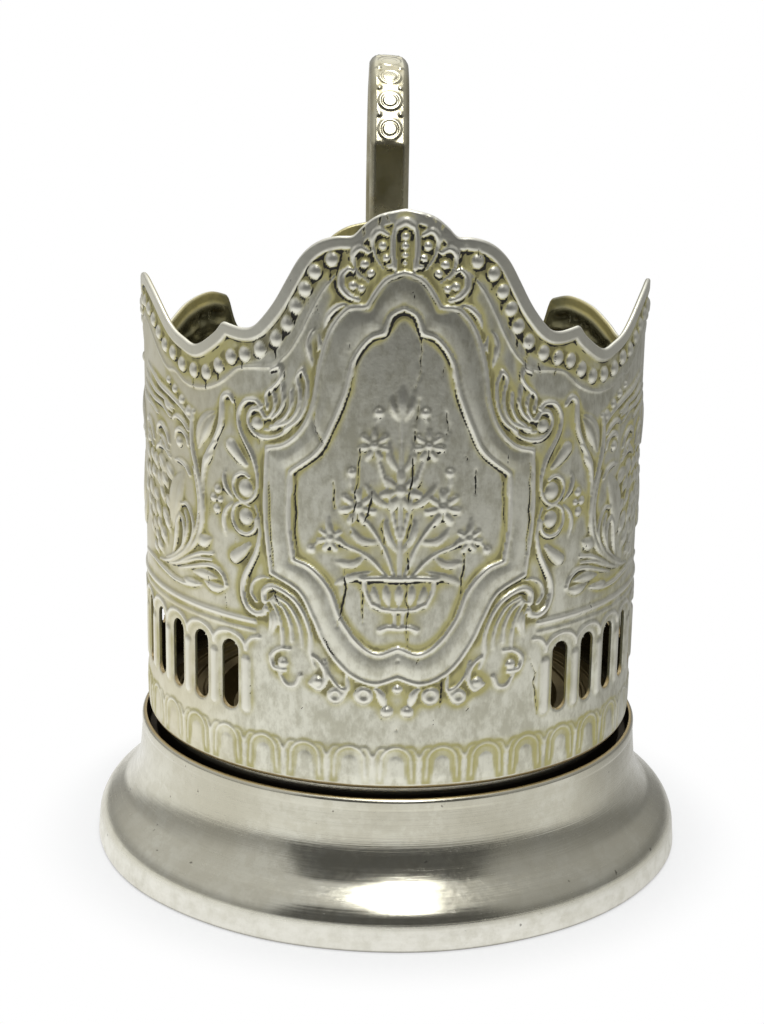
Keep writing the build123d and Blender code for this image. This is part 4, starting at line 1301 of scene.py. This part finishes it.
def handleSection():
    # place across the bar, height over its middle, and the share of the stamped work carried there
    w, t, b = handle["width"] / 2, handle["thick"] / 2, handle["bevel"]
    face = [(x, t, 1.0) for x in np.linspace(-w + b, w - b, 45)]
    corner = [(w - b * 0.45, t - b * 0.42, 0.0), (w - 0.1, t - b + 0.05, 0.0), (w, t - b - 0.15, 0.0)]
    low = [(w, -t + b + 0.15, 0.0), (w - 0.1, -t + b - 0.05, 0.0), (w - b * 0.5, -t + b * 0.5, 0.0)]
    inner = [(x, -t, 0.0) for x in np.linspace(w - b, -w + b, 9)]
    mirrorLow = [(-x, y, r) for x, y, r in low[::-1]]
    mirrorCorner = [(-x, y, r) for x, y, r in corner[::-1]]
    return np.array(face + corner + low + inner + mirrorLow + mirrorCorner)


def softBar(field):
    # mean over a small window
    rows, across = 6, 3
    pad = np.pad(field, ((rows, rows), (across, across)), mode="edge")
    total = np.zeros_like(field)
    for i in range(2 * rows + 1):
        for j in range(2 * across + 1):
            total += pad[i:i + field.shape[0], j:j + field.shape[1]]
    return total / ((2 * rows + 1) * (2 * across + 1))


def handlePiece():
    h = handle
    samples, bendStartZ = handlePath()
    section = handleSection()
    y, z, way = samples.T
    turn = np.radians(way)
    along = np.concatenate([[0], np.cumsum(np.hypot(np.diff(y), np.diff(z)))])
    bendAt = along[np.abs(z - bendStartZ).argmin()]
    outer = (along - bendAt) * h["bendR"] / (h["bendR"] - h["thick"] / 2)
    x = np.repeat(section[None, :, 0], len(samples), 0)
    up = np.repeat(section[None, :, 1], len(samples), 0)
    carry = section[None, :, 2]
    spread = np.repeat(outer[:, None], len(section), 1)
    # the sunk panel with its crown, and the discs and small beads stamped on it
    past = spread - h["panelStart"]
    inPanel = np.clip(past / 0.25, 0, 1) * np.clip((h["panelEnd"] - spread) / 6.0, 0, 1)
    sink = np.clip(past / h["panelRun"], 0, 1)
    sunk = -h["panelDepth"] * (1 - (1 - sink) ** 2) * inPanel
    swell = np.clip(past / 14.0, 0, 1) * inPanel
    across = np.abs(x) / (h["width"] / 2 - h["bevel"])
    panel = h["crown"] * swell * (1 - (x / h["width"] * 2) ** 2) - 0.03 * inPanel * np.clip(across, 0, 1) ** 4
    lift = panel.copy()
    for k in range(h["discs"]):
        middle = h["discStart"] + h["discPitch"] * k
        far = np.hypot(x, spread - middle) / h["discR"]
        disc = h["discHeight"] * np.clip((1.0 - far) / 0.14, 0, 1)
        disc = disc - h["discGroove"] * np.exp(-((far - 0.64) / 0.09) ** 2)
        raiseTo(lift, far < 1, (panel + disc)[far < 1])
        for side in (-1, 1):
            small = np.hypot(x - side * h["beadSide"], spread - middle - h["discPitch"] / 2) / h["beadR"]
            stud = panel + h["beadHeight"] * np.sqrt(np.clip(1 - small ** 2, 0, 1))
            raiseTo(lift, small < 1, stud[small < 1])
    lift = lift * carry
    # the lower end of the rise is rounded to a tongue
    tip = np.clip(along / 4.0, 0, 1)[:, None]
    tongue = np.sqrt(1 - (1 - tip) ** 2)
    x = x * (0.25 + 0.75 * tongue)
    up = np.where(up > 0, up * (0.35 + 0.65 * tongue), up)
    up = up + lift + np.where(up > 0, sunk, sunk / 2)
    # the bar sits a little turned
    twist = np.clip((along - 4) / 10, 0, 1)[:, None] * np.clip((h["panelEnd"] - spread) / 8, 0, 1)
    up = up - h["twist"] * x * twist
    py = y[:, None] - np.sin(turn)[:, None] * up
    pz = z[:, None] + np.cos(turn)[:, None] * up
    # seat the bar on the saddles
    reachY = np.sqrt(saddleR ** 2 - x ** 2)
    ahead = (py[-1] - reachY[-1]) / -math.cos(turn[-1])
    pz[-1] += ahead * math.sin(turn[-1])
    py[-1] = reachY[-1]
    py = np.maximum(py, reachY)
    hollow = np.clip(softBar(lift) - lift, 0, 0.12) / 0.12 * (carry > 0) + h["bevelStain"] * (carry == 0)
    quads = gridQuads(len(samples), len(section))[:, ::-1]
    points, fans = closedEnds(np.stack([x, py, pz], -1), len(section))
    hollow = np.append(hollow.ravel(), [0, 0])
    return newPiece("handleBar", points, quads, "handle_nickel", ["handle_strap"], {"hollow": hollow},
                    fans=fans)


handlePiece()


# Saddles and their solder, curved pads on the back of the wall

# shares of the outline and of the thickness, from the pad's face over its edge
pads = {"corner": 3.3, "face": (0.06, 0.3, 0.6, 0.88), "back": (0.6, 0.06),
        "edge": ((0.95, 0.95), (0.985, 0.75), (1.0, 0.45), (1.0, 0.0)),
        "solderMargin": 0.5, "solderSink": 0.05, "ripple": 0.012}


def curvedPad(name, box, innerR, outerR, margin, slot, nodes, ripple=0.0):
    low, high = box
    width, height = (high.x - low.x) / 2 / mm, (high.z - low.z) / 2 / mm
    middle = (high.z + low.z) / 2 / mm
    corners = [(0, height), (width, height), (width, -height), (-width, -height), (-width, height),
               (0, height)]
    outline = roundedPath(corners, [pads["corner"] + margin] * 4, 10)[:-1]
    outline = fillPath(np.vstack([outline, outline[:1]]), 0.5)[:-1]
    angle = np.arctan2(outline[:, 1], outline[:, 0])
    wave = 1 + ripple * np.sin(9 * angle + 1.0) + ripple * 0.7 * np.sin(17 * angle)

    def onWall(share, radius, ragged=1.0):
        flat = outline * share * ragged
        turn = flat[:, 0] / innerR
        return np.stack([radius * np.sin(turn), radius * np.cos(turn), middle + flat[:, 1]], -1)

    rows = [onWall(share, outerR) for share in pads["face"]]
    for share, rise in pads["edge"]:
        rows.append(onWall(share, innerR + (outerR - innerR) * rise, wave[:, None]))
    rows += [onWall(share, innerR) for share in pads["back"]]
    quads = gridQuads(len(rows), len(outline))
    points, fans = closedEnds(np.stack(rows), len(outline), inward=True)
    return newPiece(name, points, quads, slot, nodes, {"hollow": np.zeros(len(points))}, fans=fans)


solderR, bedR = wallR + handle["solder"], wallR - pads["solderSink"]
curvedPad("upperPad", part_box("upper_saddle"), solderR, saddleR, 0.0, "handle_nickel", ["upper_saddle"])
curvedPad("lowerPad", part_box("lower_saddle"), solderR, saddleR, 0.0, "handle_nickel", ["lower_saddle"])
curvedPad("upperSolder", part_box("upper_solder_bed"), bedR, solderR, pads["solderMargin"], "solder",
          ["upper_solder_bed"], pads["ripple"])
curvedPad("lowerSolder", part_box("lower_solder_bed"), bedR, solderR, pads["solderMargin"], "solder",
          ["lower_solder_bed"], pads["ripple"])

for node in ("clamp_screw", "clamp_washer", "lock_washer", "clamp_nut"):
    piece = frame["nodes"][node]
    piece.data.materials.clear()
    piece.data.materials.append(finishes["steel"])
print("clamp finished")


# Floor, light and camera

studio = {
    "floorSize": 6.0, "floorTint": (0.86, 0.87, 0.885), "nearWhite": 0.55, "sheetNear": 0.13,
    "sheetFar": 0.30, "sheetLeft": 1.0, "sheetRight": 0.78, "rightBack": 0.5, "nearRight": 0.24,
    "farShade": 0.85, "roomFloor": 0.255, "horizonLevel": 0.28, "upperLevel": 0.46, "leftShare": 1.42,
    "rightShare": 0.89, "dimFront": 0.1, "dimTurn": 0.76, "dimTop": 0.82, "glint": 1.1, "keyPower": 3.7,
    "keyWidth": 0.2, "keyHeight": 0.84, "keyTurn": 9.0, "keyRise": 68.0, "keyReach": 0.8,
}


def rayKinds(graph):
    rays = graph.node("ShaderNodeLightPath").socket.node.outputs
    return [Wire(graph, rays[name]) for name in ("Is Camera Ray", "Is Glossy Ray", "Is Transmission Ray")]


def paleFloor():
    size = studio["floorSize"] / 2
    mesh = bpy.data.meshes.new("paleFloor")
    corners = [(-size, -size, 0), (size, -size, 0), (size, size, 0), (-size, size, 0)]
    mesh.from_pydata(corners, [], [(0, 1, 2, 3)])
    floor = bpy.data.objects.new("paleFloor", mesh)
    scene.collection.objects.link(floor)
    material, g = newFinish("paleFloor")
    camera, glossy, through = rayKinds(g)
    spot = g.node("ShaderNodeNewGeometry")
    x, y, z = g.parts(spot)
    far = g.length(spot)
    # in reflections the white sheet ends round the object, and the room's dim floor takes over
    room = g.span(far, studio["sheetNear"], studio["sheetFar"]) * g.span(y, 0.25, -0.05, 0.55, 1.0)
    dim = g.span(x, -0.3, 0.3, studio["leftShare"], studio["rightShare"]) * studio["roomFloor"]
    dim = dim * (1 - g.span(y, -0.24, -0.42) * studio["farShade"])
    sheet = g.span(x, -0.15, 0.15, studio["sheetLeft"], studio["sheetRight"])
    sheet = 1 - g.span(far, 0.05, 0.1) * (1 - sheet)
    sheet = sheet * (1 - g.span(x, 0.03, 0.08) * g.span(y, -0.04, 0.02) * studio["rightBack"])
    sheet = sheet * (1 - g.span(x, 0.015, 0.045) * g.span(far, 0.1, 0.05) * studio["nearRight"])
    mirrored = sheet + room * (dim - sheet)
    strength = camera + (1 - camera) * mirrored
    share = camera * g.span(far, 0.0425, 0.054, studio["nearWhite"], 1.0)
    share = share + (1 - camera) * glossy.most(through)
    matt = g.node("ShaderNodeBsdfDiffuse", {}, {"Color": (*studio["floorTint"], 1)})
    white = g.node("ShaderNodeEmission", {}, {"Color": g.grey(strength), "Strength": 1.0})
    mixed = g.node("ShaderNodeMixShader", {}, {0: share, 1: matt, 2: white})
    g.node("ShaderNodeOutputMaterial", {}, {"Surface": mixed})
    mesh.materials.append(material)


def softWorld():
    world = bpy.data.worlds.new("studio")
    scene.world = world
    world.use_nodes = True
    g = Graph(world.node_tree)
    camera = rayKinds(g)[0]
    x, y, z = g.parts(g.node("ShaderNodeTexCoord"))
    level = g.span(z, 0.08, 0.5, studio["horizonLevel"], studio["upperLevel"])
    level = level * g.span(x, -0.9, 0.9, studio["leftShare"], studio["rightShare"])
    # the bright ceiling behind the object
    ceiling = g.span(y * 0.6 + z, 0.92, 1.08)
    level = level + ceiling * (studio["glint"] - level)
    # the dim part of the room, in front of the object
    wide = g.node("ShaderNodeMath", {"operation": "ABSOLUTE"}, {0: x})
    turn = g.turn(wide, 0 - y)
    dim = g.span(turn, studio["dimTurn"] + 0.06, studio["dimTurn"] - 0.06)
    dim = dim * g.span(z, studio["dimTop"] + 0.08, studio["dimTop"] - 0.08)
    level = level + dim * (studio["dimFront"] - level)
    level = camera + (1 - camera) * level
    background = g.node("ShaderNodeBackground", {}, {"Color": g.grey(level), "Strength": 1.0})
    g.node("ShaderNodeOutputWorld", {}, {"Surface": background})


view = {"elevation": 0.283, "azimuth": math.radians(-1.9), "roll": 0.0175, "distance": 0.300,
        "targetZ": 0.045, "focalPixels": 2094.0, "imageHeight": 1024, "imageWidth": 764, "axisX": 391.0,
        "axisY": 530.0}


def keyLamp():
    turn, rise = math.radians(studio["keyTurn"]), math.radians(studio["keyRise"])
    target = Vector((0, 0, view["targetZ"]))
    away = Vector((math.sin(turn) * math.cos(rise), -math.cos(turn) * math.cos(rise), math.sin(rise)))
    data = bpy.data.lights.new("key", "AREA")
    data.energy = studio["keyPower"]
    data.shape = "RECTANGLE"
    data.size = studio["keyWidth"]
    data.size_y = studio["keyHeight"]
    lamp = bpy.data.objects.new("key", data)
    lamp.location = target + away * studio["keyReach"]
    lamp.rotation_euler = away.to_track_quat("Z", "Y").to_euler()
    scene.collection.objects.link(lamp)


def photoCamera():
    v = view
    ce, se = math.cos(v["elevation"]), math.sin(v["elevation"])
    ca, sa = math.cos(v["azimuth"]), math.sin(v["azimuth"])
    back = Vector((sa * ce, -ca * ce, se))
    right = Vector((ca, sa, 0))
    up = back.cross(right)
    c, s = math.cos(v["roll"]), math.sin(v["roll"])
    right, up = c * right + s * up, c * up - s * right
    data = bpy.data.cameras.new("photoCamera")
    data.sensor_fit = "VERTICAL"
    data.sensor_height = 36.0
    data.lens = v["focalPixels"] / v["imageHeight"] * data.sensor_height
    data.shift_x = (v["imageWidth"] / 2 - v["axisX"]) / v["imageHeight"]
    data.shift_y = (v["axisY"] - v["imageHeight"] / 2) / v["imageHeight"]
    data.clip_start = 0.01
    camera = bpy.data.objects.new("photoCamera", data)
    place = Vector((0, 0, v["targetZ"])) + back * v["distance"]
    camera.matrix_world = Matrix(((right.x, up.x, back.x, place.x), (right.y, up.y, back.y, place.y),
                                  (right.z, up.z, back.z, place.z), (0, 0, 0, 1)))
    scene.collection.objects.link(camera)
    scene.camera = camera


paleFloor()
softWorld()
keyLamp()
photoCamera()
scene.view_settings.view_transform = "Standard"
print("studio ready")
